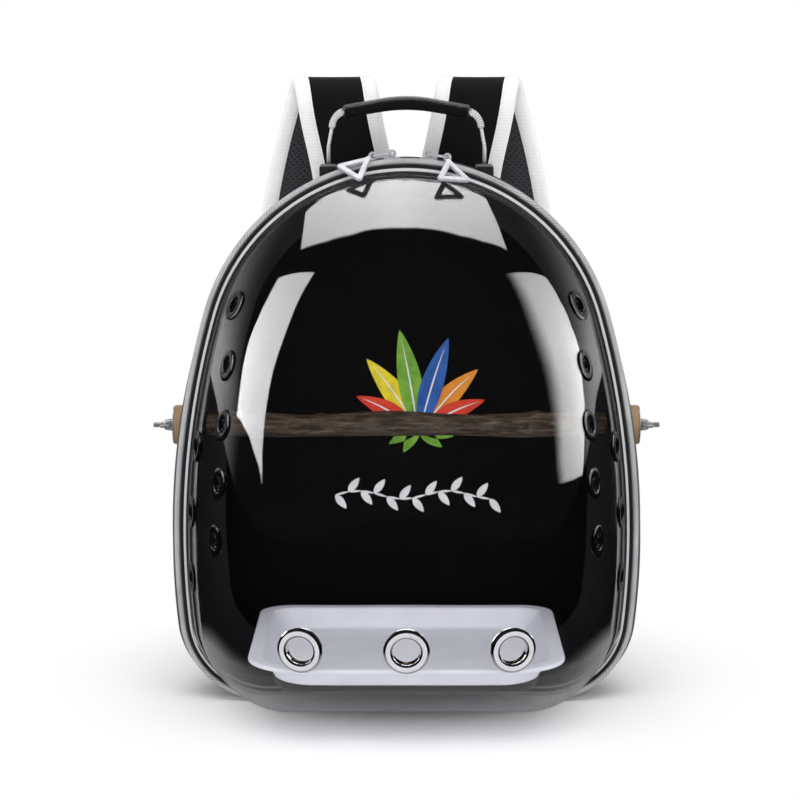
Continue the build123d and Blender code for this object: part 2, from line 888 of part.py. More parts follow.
strap_core = strap_layer(-1, -strap_outer, strap_inner)
edge_bindings = [
    strap_layer(-1, -strap_outer, strap_inner, strap_edge_growth, strap_layer_gap, edge)
    for edge in (-1, 1)
]


def sided(hand, pieces):
    """Pieces made for the left strap, or their mirror image for the right one."""
    with BuildPart() as strap_piece:
        for piece in pieces:
            if hand == "left":
                add(piece.part)
            else:
                mirror(piece.part, about=Plane.YZ)
    return strap_piece


for hand in ("left", "right"):
    keep(sided(hand, [strap_core]), f"strap_{hand}")
    keep(sided(hand, edge_bindings), f"strap_binding_{hand}")

lock_x, lock_y, strap_end = strap_points[-1]
ring_reach = lock_bar / 2 + loop_slack + lower_webbing_thickness
loop_height = 2 * ring_reach + loop_slack
bar_offset = lock_height / 2 - lock_bar / 2
lock_z = strap_end - body_clearance - loop_height / 2 - bar_offset
loop_width = lock_thickness + 2 * loop_slack + 2 * lower_webbing_thickness


def add_loop(side, middle):
    """Adds a loop of webbing round a bar of the ladder lock, its middle at this height."""
    with BuildSketch(Plane.YZ.offset(side * lock_x - lower_webbing_width / 2)) as loop:
        with Locations((flange_y + lock_y, middle)):
            RectangleRounded(loop_width, loop_height, loop_width * 0.4)
            RectangleRounded(
                loop_width - 2 * lower_webbing_thickness,
                loop_height - 2 * lower_webbing_thickness,
                loop_width * 0.4 - lower_webbing_thickness,
                mode=Mode.SUBTRACT,
            )
    extrude(loop.sketch, amount=lower_webbing_width)


for side, hand in ((-1, "left"), (1, "right")):
    with BuildPart() as lock:
        with BuildSketch(behind(lock_y + lock_thickness / 2)):
            with Locations((side * lock_x, lock_z)):
                RectangleRounded(lock_width, lock_height, lock_bar)
            for up in (-1, 1):
                with Locations((side * lock_x, lock_z + up * bar_offset / 2)):
                    Rectangle(
                        lower_webbing_width + 2, bar_offset - lock_bar, mode=Mode.SUBTRACT
                    )
        extrude(amount=lock_thickness)
    keep(lock, f"ladder_lock_{hand}")

    with BuildPart() as lock_loop:
        add_loop(side, lock_z + bar_offset)
    keep(lock_loop, f"lock_loop_{hand}")

    with BuildPart() as lower_webbing:
        add_loop(side, lock_z - bar_offset)
        for plane in strap_planes(lower_webbing_points, side, lower_webbing_stations):
            with BuildSketch(plane):
                Rectangle(lower_webbing_width, lower_webbing_thickness)
        loft(ruled=True)
    keep(lower_webbing, f"lower_webbing_{hand}")

    with BuildPart() as anchor_tab:
        with BuildSketch(behind(back_face + tab_thickness)):
            with Locations((side * lower_webbing_points[-1][0], tab_bottom + tab_height / 2)):
                RectangleRounded(tab_width, tab_height, tab_thickness)
        extrude(amount=tab_thickness)
    keep(anchor_tab, f"anchor_tab_{hand}")

# ---------------------------------------------------------------- zip sliders and pulls
zip_middle = zip_start + tooth_row + zip_row_gap / 2
outer_plate = tooth_outer + slider_clearance
inner_plate = tooth_inner - slider_clearance
lug_line = zip_line.grown(outer_plate + slider_plate + lug_rise)


def pull_way(side, heading_angle, pitch_angle):
    """The direction at a heading forward of straight out to the side and a pitch below level."""
    heading, pitch = radians(heading_angle), radians(pitch_angle)
    return Vector(side * cos(heading) * cos(pitch), -sin(heading) * cos(pitch), -sin(pitch))


for side, hand, pull in ((-1, "left", left_pull), (1, "right", right_pull)):
    lug = Vector(
        side * pull.slider_offset, flange_y + zip_middle, lug_line.crest(pull.slider_offset)
    )
    ahead = pull_way(side, pull.link_heading, pull.link_pitch)
    turn_axis = pull_way(side, pull.link_heading, 0).cross(Vector(0, 0, 1))
    with BuildPart() as slider:
        add_ring(
            zip_line,
            outer_plate,
            outer_plate + slider_plate,
            zip_middle - slider_front_reach,
            zip_middle + slider_outer_reach,
        )
        add_ring(
            zip_line,
            inner_plate - slider_plate,
            inner_plate,
            zip_middle - slider_front_reach,
            zip_middle + slider_inner_reach,
        )
        add_ring(
            zip_line,
            inner_plate - slider_plate / 2,
            outer_plate + slider_plate / 2,
            zip_middle - slider_neck / 2,
            zip_middle + slider_neck / 2,
        )
        with BuildSketch(Plane.XY.offset(rim_top - lug_radius)):
            with Locations((side * pull.slider_offset, flange_y)):
                Rectangle(2 * slider_half_length, 8 * slider_half_length)
        extrude(amount=8 * lug_radius, mode=Mode.INTERSECT)
        with BuildSketch(Plane(origin=lug, x_dir=ahead, z_dir=turn_axis)):
            Circle(lug_radius)
        extrude(amount=lug_thickness / 2, both=True)
        with BuildSketch(Plane(origin=lug, x_dir=ahead, z_dir=turn_axis)):
            Circle(lug_hole)
        extrude(amount=lug_thickness, both=True, mode=Mode.SUBTRACT)
    keep(slider, f"slider_{hand}")

    with BuildPart() as pull_link:
        with BuildSketch(Plane(origin=lug, x_dir=ahead, z_dir=turn_axis.cross(ahead))):
            with Locations((link_length / 2, 0)):
                SlotOverall(link_length + link_wire, link_width)
                SlotOverall(
                    link_length - link_wire, link_width - 2 * link_wire, mode=Mode.SUBTRACT
                )
        extrude(amount=link_wire / 2, both=True)
        fillet(pull_link.edges(), link_wire * 0.3)
    keep(pull_link, f"pull_link_{hand}")

    eye = lug + ahead * link_length
    along = pull_way(side, pull.tab_heading, pull.tab_pitch)
    level = pull_way(side, pull.tab_heading, 0).cross(Vector(0, 0, 1))
    roll = radians(pull.tab_roll)
    facing = level.cross(along) * cos(roll) - level * sin(roll)
    far_side = pull_neck + pull_side * cos(radians(30))
    with BuildPart() as pull_tab:
        with BuildSketch(Plane(origin=eye, x_dir=along, z_dir=facing)):
            with Locations((lug_radius - eye_overlap, 0)):
                Rectangle(pull_neck + pull_bar, pull_bar, align=(Align.MIN, Align.CENTER))
            with BuildLine():
                corners = Polyline(
                    (pull_neck, 0),
                    (far_side, pull_side / 2),
                    (far_side, -pull_side / 2),
                    close=True,
                )
                fillet(corners.vertices(), pull_corner)
            make_face()
            with BuildLine():
                inside = Polyline(
                    (pull_neck + 2 * pull_bar, 0),
                    (far_side - pull_bar, pull_side / 2 - pull_bar * sqrt(3)),
                    (far_side - pull_bar, pull_bar * sqrt(3) - pull_side / 2),
                    close=True,
                )
            make_face(mode=Mode.SUBTRACT)
        extrude(amount=pull_thickness / 2, both=True)
        broad = pull_tab.faces().filter_by(Axis(eye, facing)).edges()
        fillet(broad, pull_thickness * 0.3)
        with BuildSketch(Plane(origin=eye, x_dir=ahead, z_dir=turn_axis)):
            Circle(lug_radius)
        extrude(amount=lug_thickness / 2, both=True)
        with BuildSketch(Plane(origin=eye, x_dir=ahead, z_dir=turn_axis)):
            Circle(lug_hole)
        extrude(amount=2 * pull_bar, both=True, mode=Mode.SUBTRACT)
    keep(pull_tab, f"pull_tab_{hand}")
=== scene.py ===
"""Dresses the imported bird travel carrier: clear shell, zip, padded body, straps, perch and tray.

Lengths are in millimetres while a piece is drawn and in metres once it is a mesh.
"""

from __future__ import annotations

import json
import logging
import math
from dataclasses import dataclass, field, replace
from enum import Enum
from typing import Callable, Iterable, Sequence

import bmesh
import bpy
import numpy as np
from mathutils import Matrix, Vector
from mathutils.bvhtree import BVHTree

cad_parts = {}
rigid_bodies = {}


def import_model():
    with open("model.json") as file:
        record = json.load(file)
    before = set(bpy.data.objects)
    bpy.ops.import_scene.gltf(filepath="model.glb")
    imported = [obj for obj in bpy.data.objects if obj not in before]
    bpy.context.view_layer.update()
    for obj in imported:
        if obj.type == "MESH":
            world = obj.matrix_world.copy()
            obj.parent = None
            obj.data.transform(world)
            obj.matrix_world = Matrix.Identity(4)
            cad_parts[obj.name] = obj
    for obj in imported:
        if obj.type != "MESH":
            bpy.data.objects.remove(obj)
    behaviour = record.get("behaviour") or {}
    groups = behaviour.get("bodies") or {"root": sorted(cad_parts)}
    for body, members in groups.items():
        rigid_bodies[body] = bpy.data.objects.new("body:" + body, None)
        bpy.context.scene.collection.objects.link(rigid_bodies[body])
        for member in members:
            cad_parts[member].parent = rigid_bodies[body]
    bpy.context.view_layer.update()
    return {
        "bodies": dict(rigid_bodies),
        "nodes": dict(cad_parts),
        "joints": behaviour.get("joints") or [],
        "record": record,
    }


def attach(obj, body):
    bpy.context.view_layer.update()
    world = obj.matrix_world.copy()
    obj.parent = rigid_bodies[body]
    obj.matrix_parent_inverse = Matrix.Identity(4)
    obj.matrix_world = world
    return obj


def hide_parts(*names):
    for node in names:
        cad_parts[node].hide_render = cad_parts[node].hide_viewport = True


log = logging.getLogger("carrier")

FLANGE_Y = -45.0  # the plane where shell and body meet
UV_NAME = "cloth"  # pattern coordinates, in millimetres along the surface
SIDES = {"left": -1, "right": 1}
MM = 0.001  # a millimetre, in metres
MERGE = 0.00001  # how near two points are to be merged, in metres
PUFF_FRAMES = 20  # how many frames the stuffed pads are simulated for

Piece = bpy.types.Object
Material = bpy.types.Material
Tree = bpy.types.NodeTree
Socket = bpy.types.NodeSocket


class Body(Enum):
    """The rigid bodies that the pieces ride on."""

    CARRIER = "carrier"
    DOOR = "shell_door"
    HANDLE = "handle"
    TRAY = "feeding_tray"


# ------------------------------------------------------------------ outlines and paths


@dataclass(frozen=True)
class Arch:
    """The bag's outline seen from the front: tangent arcs on a straight base."""

    half_width: float
    top: float
    bottom: float
    corner: float
    shoulder: float = 74.0
    flank: float = 22.3

    def grown(self, by: float) -> Arch:
        """Returns the parallel outline, further out by this much."""
        return replace(
            self, half_width=self.half_width + by, top=self.top + by, bottom=self.bottom - by,
            corner=self.corner + by
        )

    def radii(self) -> tuple[float, float]:
        """Returns the radii of the top arc and of the side arcs."""
        turn, end = math.radians(self.shoulder), math.radians(self.shoulder + self.flank)
        rise = self.top - self.bottom - self.corner * (1 + math.cos(end))
        a, b = 1 - math.cos(turn), math.cos(turn) - math.cos(end)
        c, d = math.sin(turn), 1 - math.sin(turn)
        scale = a * d - b * c
        return ((rise * d - b * self.half_width) / scale, (a * self.half_width - c * rise) / scale)

    def loop(self, fineness: float = 1.0) -> tuple[np.ndarray, np.ndarray]:
        """Samples the outline all round, from the middle of the top to the right.

        Args:
            fineness: How many times the usual number of points to take.

        Returns:
            The points and the outward normals, as arrays of (x, z).
        """
        top_radius, side_radius = self.radii()
        turn, end = math.radians(self.shoulder), math.radians(self.shoulder + self.flank)
        arcs = ((0.0, turn, top_radius, 26), (turn, end, side_radius, 24), (end, math.pi, self.corner, 16))
        centre = np.array([0.0, self.top - top_radius])
        radius_before = top_radius
        points, normals = [], []
        for start, stop, radius, count in arcs:
            facing = np.array([math.sin(start), math.cos(start)])
            centre = centre + (radius_before - radius) * facing
            radius_before = radius
            angles = np.linspace(start, stop, int(count * fineness), endpoint=False)
            way = np.stack([np.sin(angles), np.cos(angles)], axis=1)
            points.append(centre + radius * way)
            normals.append(way)
        base = np.linspace(centre[0], 0.0, int(12 * fineness))
        points.append(np.stack([base, np.full_like(base, self.bottom)], axis=1))
        normals.append(np.tile([0.0, -1.0], (len(base), 1)))
        half, out = np.concatenate(points), np.concatenate(normals)
        mirrored, out_mirrored = half[-2:0:-1] * [-1, 1], out[-2:0:-1] * [-1, 1]
        return np.concatenate([half, mirrored]), np.concatenate([out, out_mirrored])


RIM = Arch(161.8, 391.8, 8.0, 57.0)
ZIP = Arch(164.6, 391.8, 8.0, 57.0, 71.0, 26.7)


def smooth_line(points: Sequence[Sequence[float]], count: int, ends_upright: bool = True) -> np.ndarray:
    """Runs a cubic spline through points.

    Args:
        points: The points that the line passes through.
        count: How many points to return, evenly spaced in chord length.
        ends_upright: Whether both ends leave vertically, as the straps do.

    Returns:
        The points along the line, one row each.
    """
    p = np.array(points, float)
    knots = np.concatenate([[0], np.cumsum(np.linalg.norm(np.diff(p, axis=0), axis=1))])
    n, h = len(p), np.diff(knots)
    matrix, right = np.zeros((n, n)), np.zeros((n, 3))
    for i in range(1, n - 1):
        matrix[i, i - 1 : i + 2] = h[i - 1], 2 * (h[i - 1] + h[i]), h[i]
        right[i] = 6 * ((p[i + 1] - p[i]) / h[i] - (p[i] - p[i - 1]) / h[i - 1])
    matrix[0, 0] = matrix[-1, -1] = 1.0
    if ends_upright:
        first = np.array([0, 0, math.copysign(1, p[1, 2] - p[0, 2])])
        last = np.array([0, 0, math.copysign(1, p[-1, 2] - p[-2, 2])])
        matrix[0, :2] = 2 * h[0], h[0]
        right[0] = 6 * ((p[1] - p[0]) / h[0] - first)
        matrix[-1, -2:] = h[-1], 2 * h[-1]
        right[-1] = 6 * (last - (p[-1] - p[-2]) / h[-1])
    bend = np.linalg.solve(matrix, right)
    at = np.linspace(0, knots[-1], count)
    k = np.clip(np.searchsorted(knots, at, side="right") - 1, 0, n - 2)
    left, rest = (knots[k + 1] - at)[:, None], (at - knots[k])[:, None]
    gap = h[k][:, None]
    return (
        bend[k] * left**3 / (6 * gap) + bend[k + 1] * rest**3 / (6 * gap) + (p[k] / gap - bend[k] * gap / 6)
        * left + (p[k + 1] / gap - bend[k + 1] * gap / 6) * rest
    )


def rounded_path(corners: Sequence[Sequence[float]], radii: Sequence[float], step: float) -> np.ndarray:
    """Rounds the corners of a flat run of straight lines.

    Args:
        corners: The corner points, in two dimensions.
        radii: The radius at each inner corner.
        step: The greatest spacing of the points, in millimetres.

    Returns:
        The points along the path.
    """
    c = [np.array(p, float) for p in corners]
    run = [c[0]]
    for k, (before, here, after) in enumerate(zip(c, c[1:], c[2:])):
        a, b = before - here, after - here
        a, b = a / np.linalg.norm(a), b / np.linalg.norm(b)
        half = math.acos(np.clip(a @ b, -1, 1)) / 2
        reach = radii[k] / math.tan(half)
        centre = here + (a + b) / np.linalg.norm(a + b) * radii[k] / math.sin(half)
        start, stop = here + a * reach - centre, here + b * reach - centre
        sweep = math.atan2(start[0] * stop[1] - start[1] * stop[0], start @ stop)
        turn = math.atan2(start[1], start[0])
        for t in np.linspace(0, 1, max(4, int(abs(sweep) * radii[k] / step) + 2)):
            angle = turn + sweep * t
            run.append(centre + radii[k] * np.array([math.cos(angle), math.sin(angle)]))
    run.append(c[-1])
    dense: list[np.ndarray] = []
    for p, q in zip(run, run[1:]):
        pieces = max(1, int(np.linalg.norm(q - p) / step))
        dense += [p + (q - p) * k / pieces for k in range(pieces)]
    return np.array(dense + [run[-1]])


# ------------------------------------------------------------------ mesh drafting


class Draft:
    """Collects the faces of one piece, in millimetres, with a pattern map along its surface."""

    def __init__(self) -> None:
        """Starts empty."""
        self.points: list[np.ndarray] = []
        self.faces: list[tuple[int, ...]] = []
        self.maps: list[tuple[tuple[float, float], ...]] = []
        self.slots: list[int] = []
        self.count = 0

    def grid(
        self, points: np.ndarray, wrap_rows: bool = False, wrap_columns: bool = False,
        slots: Sequence[int] | int = 0, flip: bool = False
    ) -> None:
        """Adds a net of quads, with its map measured along the rows and columns.

        Args:
            points: The net's points, as rows by columns by 3.
            wrap_rows: Whether the last row joins the first.
            wrap_columns: Whether the last column joins the first.
            slots: The finish of each column of faces, or one for all.
            flip: Whether to turn the faces over.
        """
        rows, columns = points.shape[:2]
        across = np.concatenate([points, points[:, :1]], axis=1) if wrap_columns else points
        down = np.concatenate([points, points[:1]], axis=0) if wrap_rows else points
        u = np.cumsum(np.linalg.norm(np.diff(across, axis=1), axis=2).mean(axis=0))
        v = np.cumsum(np.linalg.norm(np.diff(down, axis=0), axis=2).mean(axis=1))
        u, v = np.concatenate([[0], u]), np.concatenate([[0], v])
        base = self.count
        self.points.append(points.reshape(-1, 3))
        self.count += rows * columns
        for i in range(rows if wrap_rows else rows - 1):
            for j in range(columns if wrap_columns else columns - 1):
                i2, j2 = (i + 1) % rows, (j + 1) % columns
                face = [(i, j, i, j), (i, j2, i, j + 1), (i2, j2, i + 1, j + 1), (i2, j, i + 1, j)]
                if flip:
                    face.reverse()
                self.faces.append(tuple(base + a * columns + b for a, b, _, _ in face))
                self.maps.append(tuple((u[d], v[c]) for _, _, c, d in face))
                self.slots.append(slots if isinstance(slots, int) else slots[j])

    def fan(self, ring: np.ndarray, slot: int = 0, flip: bool = False) -> None:
        """Closes a ring of points with triangles to its middle.

        Args:
            ring: The ring's points, one row each.
            slot: The finish of the faces.
            flip: Whether to turn the faces over.
        """
        middle = ring.mean(axis=0)
        base = self.count
        self.points.append(np.concatenate([ring, middle[None]]))
        self.count += len(ring) + 1
        flat = ring - middle
        for i in range(len(ring)):
            j = (i + 1) % len(ring)
            face = [i, j, len(ring)]
            place = [(flat[i, 0], flat[i, 2]), (flat[j, 0], flat[j, 2]), (0.0, 0.0)]
            if flip:
                face.reverse()
                place.reverse()
            self.faces.append(tuple(base + k for k in face))
            self.maps.append(tuple((float(a), float(b)) for a, b in place))
            self.slots.append(slot)

    def closed(self, net: np.ndarray, slots: Sequence[int] | int = 0, cap: int = 0) -> None:
        """Adds a net whose rows are rings, with both ends closed.

        Args:
            net: The net's points, as rows by columns by 3.
            slots: The finish of each column of faces, or one for all.
            cap: The finish of the ends.
        """
        self.grid(net, wrap_columns=True, slots=slots)
        self.fan(net[0], cap, flip=True)
        self.fan(net[-1], cap)

    def build(self, name: str, materials: Sequence[Material], sharp: float = 40.0) -> Piece:
        """Makes the piece's object, its place in its mesh.

        Args:
            name: The piece's name.
            materials: The finishes, in the order of the slots.
            sharp: Edges that turn by more than this many degrees stay sharp.

        Returns:
            The new object.
        """
        mesh = bpy.data.meshes.new(name)
        mesh.from_pydata((np.concatenate(self.points) * MM).tolist(), [], self.faces)
        layer = mesh.uv_layers.new(name=UV_NAME)
        layer.data.foreach_set("uv", [c for face in self.maps for place in face for c in place])
        mesh.polygons.foreach_set("material_index", self.slots)
        for material in materials:
            mesh.materials.append(material)
        tidy_mesh(mesh)
        mesh.shade_smooth()
        mesh.set_sharp_from_angle(angle=math.radians(sharp))
        return add_object(name, mesh)


def add_object(name: str, mesh: bpy.types.Mesh) -> Piece:
    """Makes an object of a mesh and puts it in the scene.

    Args:
        name: The object's name.
        mesh: Its mesh.

    Returns:
        The new object.
    """
    piece = bpy.data.objects.new(name, mesh)
    bpy.context.scene.collection.objects.link(piece)
    return piece


def applied(piece: Piece) -> bpy.types.Mesh:
    """Applies a piece's modifiers.

    Args:
        piece: The piece.

    Returns:
        The piece's new mesh.
    """
    graph = bpy.context.evaluated_depsgraph_get()
    mesh = bpy.data.meshes.new_from_object(piece.evaluated_get(graph))
    piece.modifiers.clear()
    piece.data = mesh
    return mesh


def stood(flat: np.ndarray, y: float | np.ndarray) -> np.ndarray:
    """Stands flat points of (x, z) up at a depth y.

    Args:
        flat: The points, one row each.
        y: The depth, one for all or one per point.

    Returns:
        The points, as rows of (x, y, z).
    """
    return np.stack([flat[:, 0], np.broadcast_to(y, len(flat)), flat[:, 1]], axis=1)


def tidy_mesh(mesh: bpy.types.Mesh) -> None:
    """Merges doubles and turns the faces of each closed shell outwards.

    Args:
        mesh: The mesh to tidy.
    """
    work = bmesh.new()
    work.from_mesh(mesh)
    bmesh.ops.remove_doubles(work, verts=work.verts, dist=MERGE)
    bmesh.ops.recalc_face_normals(work, faces=work.faces)
    work.to_mesh(mesh)
    work.free()


def band(arch: Arch, profile: np.ndarray, fineness: float = 1.0) -> np.ndarray:
    """Carries a closed profile round an outline.

    Args:
        arch: The outline to follow.
        profile: Pairs of distance outside the outline and distance behind the flange.
        fineness: How many times the usual number of points to take.

    Returns:
        The points, as profile by outline by 3.
    """
    points, normals = arch.loop(fineness)
    rows = []
    for out, behind in profile:
        flat = points + normals * out
        rows.append(stood(flat, FLANGE_Y + behind))
    return np.array(rows)


def rounded_box(width: float, height: float, radius: float, steps: int = 4) -> np.ndarray:
    """Returns the outline of a rectangle with round corners, about its middle."""
    ring = []
    for k, (sx, sy) in enumerate(((1, 1), (-1, 1), (-1, -1), (1, -1))):
        for t in range(steps + 1):
            angle = math.pi / 2 * (k + t / steps)
            ring.append(
                (
                    sx * (width / 2 - radius) + radius * math.cos(angle),
                    sy * (height / 2 - radius) + radius * math.sin(angle)
                )
            )
    return np.array(ring)


def sweep(path: np.ndarray, section: np.ndarray, across: np.ndarray) -> np.ndarray:
    """Carries a section along a path.

    Args:
        path: The points of the path, one row each.
        section: Pairs of offsets across the path and away from it, one set or one per point.
        across: The direction that the section's first offset lies along, one or one per point.

    Returns:
        The points, as path by section by 3.
    """
    tangent = np.gradient(path, axis=0)
    tangent = tangent / np.linalg.norm(tangent, axis=1)[:, None]
    wide = np.broadcast_to(np.asarray(across, float), path.shape)
    wide = wide / np.linalg.norm(wide, axis=1)[:, None]
    away = np.cross(tangent, wide)
    away = away / np.linalg.norm(away, axis=1)[:, None]
    shape = section if section.ndim == 3 else section[None]
    return path[:, None] + shape[..., :1] * wide[:, None] + shape[..., 1:] * away[:, None]


def tube(draft: Draft, path: np.ndarray, section: np.ndarray, across: np.ndarray) -> None:
    """Adds a solid swept along a path to a draft, its ends closed.

    Args:
        draft: The draft to add to.
        path: The points of the path.
        section: Pairs of offsets across the path and away from it.
        across: The direction that the section's first offset lies along.
    """
    draft.closed(sweep(path, section, across))


def lathe(
    draft: Draft, profile: Sequence[tuple[float, float]], origin: np.ndarray, axis: np.ndarray, steps: int = 48,
    slot: int = 0, part: bool = False
) -> None:
    """Adds a solid of revolution with a closed profile, or one part of its surface, to a draft.

    Args:
        draft: The draft to add to.
        profile: Pairs of radius and distance along the axis.
        origin: The point that distances are measured from.
        axis: The axis's direction.
        steps: How many steps the full turn takes.
        slot: The finish of its faces.
        part: Whether the profile is one open part of a closed one.
    """
    n = np.asarray(axis, float) / np.linalg.norm(axis)
    helper = np.array([0, 0, 1.0]) if abs(n[2]) < 0.8 else np.array([1.0, 0, 0])
    a = np.cross(helper, n)
    a = a / np.linalg.norm(a)
    b = np.cross(n, a)
    turns = np.linspace(0, 2 * math.pi, steps, endpoint=False)
    ring = np.cos(turns)[:, None] * a + np.sin(turns)[:, None] * b
    net = np.array([origin + r * ring + d * n for r, d in profile])
    draft.grid(net, wrap_rows=not part, wrap_columns=True, slots=slot)


# ------------------------------------------------------------------ node building


def linear(code: str) -> tuple[float, float, float, float]:
    """Turns an sRGB hex colour to linear light."""
    parts = [int(code[k : k + 2], 16) / 255 for k in (1, 3, 5)]
    light = [p / 12.92 if p <= 0.04045 else ((p + 0.055) / 1.055) ** 2.4 for p in parts]
    return (light[0], light[1], light[2], 1.0)


Link = tuple[Socket, "str | int"]


def add_node(
    tree: Tree, kind: str, settings: dict[str, object] | None = None, links: Iterable[Link] = (),
    values: dict[str | int, object] | None = None
) -> bpy.types.Node:
    """Adds a node with its settings, its inputs' values and the links that come into it.

    Args:
        tree: The node tree to add to.
        kind: The node's type name.
        settings: The node's own properties.
        links: Pairs of a source socket and the input, by name or number, that it feeds.
        values: The default values of inputs, by name or number.

    Returns:
        The new node.
    """
    node = tree.nodes.new(kind)
    for key, value in (settings or {}).items():
        setattr(node, key, value)
    for key, value in (values or {}).items():
        node.inputs[key].default_value = value
    for source, target in links:
        tree.links.new(source, node.inputs[target])
    return node


def add_ramp(tree: Tree, source: Socket, stops: Sequence[tuple[float, str]]) -> Socket:
    """Adds a colour ramp with its stops and returns its colour output."""
    node = add_node(tree, "ShaderNodeValToRGB", links=[(source, "Fac")])
    ramp = node.color_ramp
    while len(ramp.elements) < len(stops):
        ramp.elements.new(0.5)
    for element, (place, code) in zip(ramp.elements, stops):
        element.position = place
        element.color = linear(code)
    return node.outputs["Color"]


def empty_material(name: str) -> tuple[Material, Tree]:
    """Makes a material without nodes.

    Args:
        name: The material's name.

    Returns:
        The material and its node tree.
    """
    material = bpy.data.materials.new(name)
    material.use_nodes = True
    material.node_tree.nodes.clear()
    return material, material.node_tree


@dataclass(frozen=True)
class Finish:
    """A finish: its name and the steady values of its shader."""

    name: str
    roughness: float = 0.5
    metallic: float = 0.0
    sheen: float = 0.0
    sheen_roughness: float = 0.5
    coat: float = 0.0
    coat_roughness: float = 0.1
    ior: float = 1.5
    transmission: float = 0.0
    specular: float = 0.5

    def start(self) -> tuple[Material, Tree, bpy.types.Node]:
        """Starts the material with its shader and output.

        Returns:
            The material, its node tree and its shader node.
        """
        material, tree = empty_material(self.name)
        shader = add_node(
            tree, "ShaderNodeBsdfPrincipled",
            values={
                "Roughness": self.roughness, "Metallic": self.metallic, "Sheen Weight": self.sheen,
                "Sheen Roughness": self.sheen_roughness, "Coat Weight": self.coat,
                "Coat Roughness": self.coat_roughness, "IOR": self.ior,
                "Transmission Weight": self.transmission, "Specular IOR Level": self.specular
            }
        )
        add_node(tree, "ShaderNodeOutputMaterial", links=[(shader.outputs["BSDF"], "Surface")])
        return material, tree, shader

    def make(self) -> Material:
        """Makes the material."""
        raise NotImplementedError


def in_millimetres(tree: Tree, turn: tuple[float, float, float] = (0, 0, 0)) -> Socket:
    """Adds the object's own coordinates in millimetres, turned if asked."""
    place = add_node(tree, "ShaderNodeTexCoord")
    scaled = add_node(
        tree, "ShaderNodeMapping", links=[(place.outputs["Object"], "Vector")],
        values={"Scale": (1000, 1000, 1000), "Rotation": turn}
    )
    return scaled.outputs["Vector"]


def on_the_cloth(tree: Tree, turn: float = 0.0) -> Socket:
    """Adds the surface's own map, which is in millimetres, turned if asked."""
    place = add_node(tree, "ShaderNodeUVMap", settings={"uv_map": UV_NAME})
    turned = add_node(
        tree, "ShaderNodeMapping", links=[(place.outputs["UV"], "Vector")], values={"Rotation": (0, 0, turn)}
    )
    return turned.outputs["Vector"]


def noise(tree: Tree, where: Socket, size: float, detail: float = 2.0, rough: float = 0.5) -> Socket:
    """Adds soft mottling with features of this size in millimetres and returns its strength."""
    node = add_node(
        tree, "ShaderNodeTexNoise", links=[(where, "Vector")],
        values={"Scale": 1 / size, "Detail": detail, "Roughness": rough}
    )
    return node.outputs["Fac"]


def waves(tree: Tree, where: Socket, pitch: float, along: str = "X", stray: float = 0.0) -> Socket:
    """Adds parallel threads at this pitch in millimetres and returns their height."""
    node = add_node(
        tree, "ShaderNodeTexWave", settings={"bands_direction": along, "wave_profile": "SIN"},
        links=[(where, "Vector")],
        values={"Scale": 0.314159 / pitch, "Distortion": stray, "Detail": 1.0, "Detail Scale": 1.0}
    )
    return node.outputs["Fac"]


def maths(tree: Tree, operation: str, *terms: Socket | float, clamp: bool = False) -> Socket:
    """Adds a sum, product or other operation on sockets and numbers and returns its result."""
    node = add_node(tree, "ShaderNodeMath", settings={"operation": operation, "use_clamp": clamp})
    for k, term in enumerate(terms):
        if isinstance(term, (int, float)):
            node.inputs[k].default_value = term
        else:
            tree.links.new(term, node.inputs[k])
    return node.outputs[0]


def bumped(tree: Tree, shader: bpy.types.Node, height: Socket, depth: float, strength: float = 1.0) -> None:
    """Raises the surface by a height pattern.

    Args:
        tree: The material's node tree.
        shader: The shader that takes the raised normal.
        height: The pattern, from 0 to 1.
        depth: The height of the pattern's 1, in millimetres.
        strength: How much of the effect shows.
    """
    bump = add_node(
        tree, "ShaderNodeBump", links=[(height, "Height")],
        values={"Distance": depth * MM, "Strength": strength}
    )
    tree.links.new(bump.outputs["Normal"], shader.inputs["Normal"])


# ------------------------------------------------------------------ finishes


@dataclass(frozen=True)
class Polycarbonate(Finish):
    """Clear blow-moulded polycarbonate: hard bright reflections and a faint ripple from the mould."""

    colour: str = "#F6F7F8"

    def make(self) -> Material:
        """Makes the material."""
        material, tree, shader = self.start()
        shader.inputs["Base Color"].default_value = linear(self.colour)
        ripple = noise(tree, in_millimetres(tree), 60.0, 1.0)
        bumped(tree, shader, ripple, 0.22)
        return material


@dataclass(frozen=True)
class PlatedMetal(Finish):
    """Plated steel: mirror-like, with the faint cloud and wear that handling leaves."""

    colour: str = "#D9DADC"
    worn: str = "#B9BABD"
    cloud: float = 3.0

    def make(self) -> Material:
        """Makes the material."""
        material, tree, shader = self.start()
        where = in_millimetres(tree)
        patch = noise(tree, where, self.cloud, 3.0, 0.6)
        tree.links.new(
            add_ramp(tree, patch, ((0.35, self.worn), (0.62, self.colour))), shader.inputs["Base Color"]
        )
        rough = add_node(
            tree, "ShaderNodeMapRange", links=[(patch, "Value")],
            values={"To Min": self.roughness + 0.08, "To Max": max(0.03, self.roughness - 0.03)}
        )
        tree.links.new(rough.outputs[0], shader.inputs["Roughness"])
        bumped(tree, shader, noise(tree, where, 0.7, 2.0), 0.012)
        return material


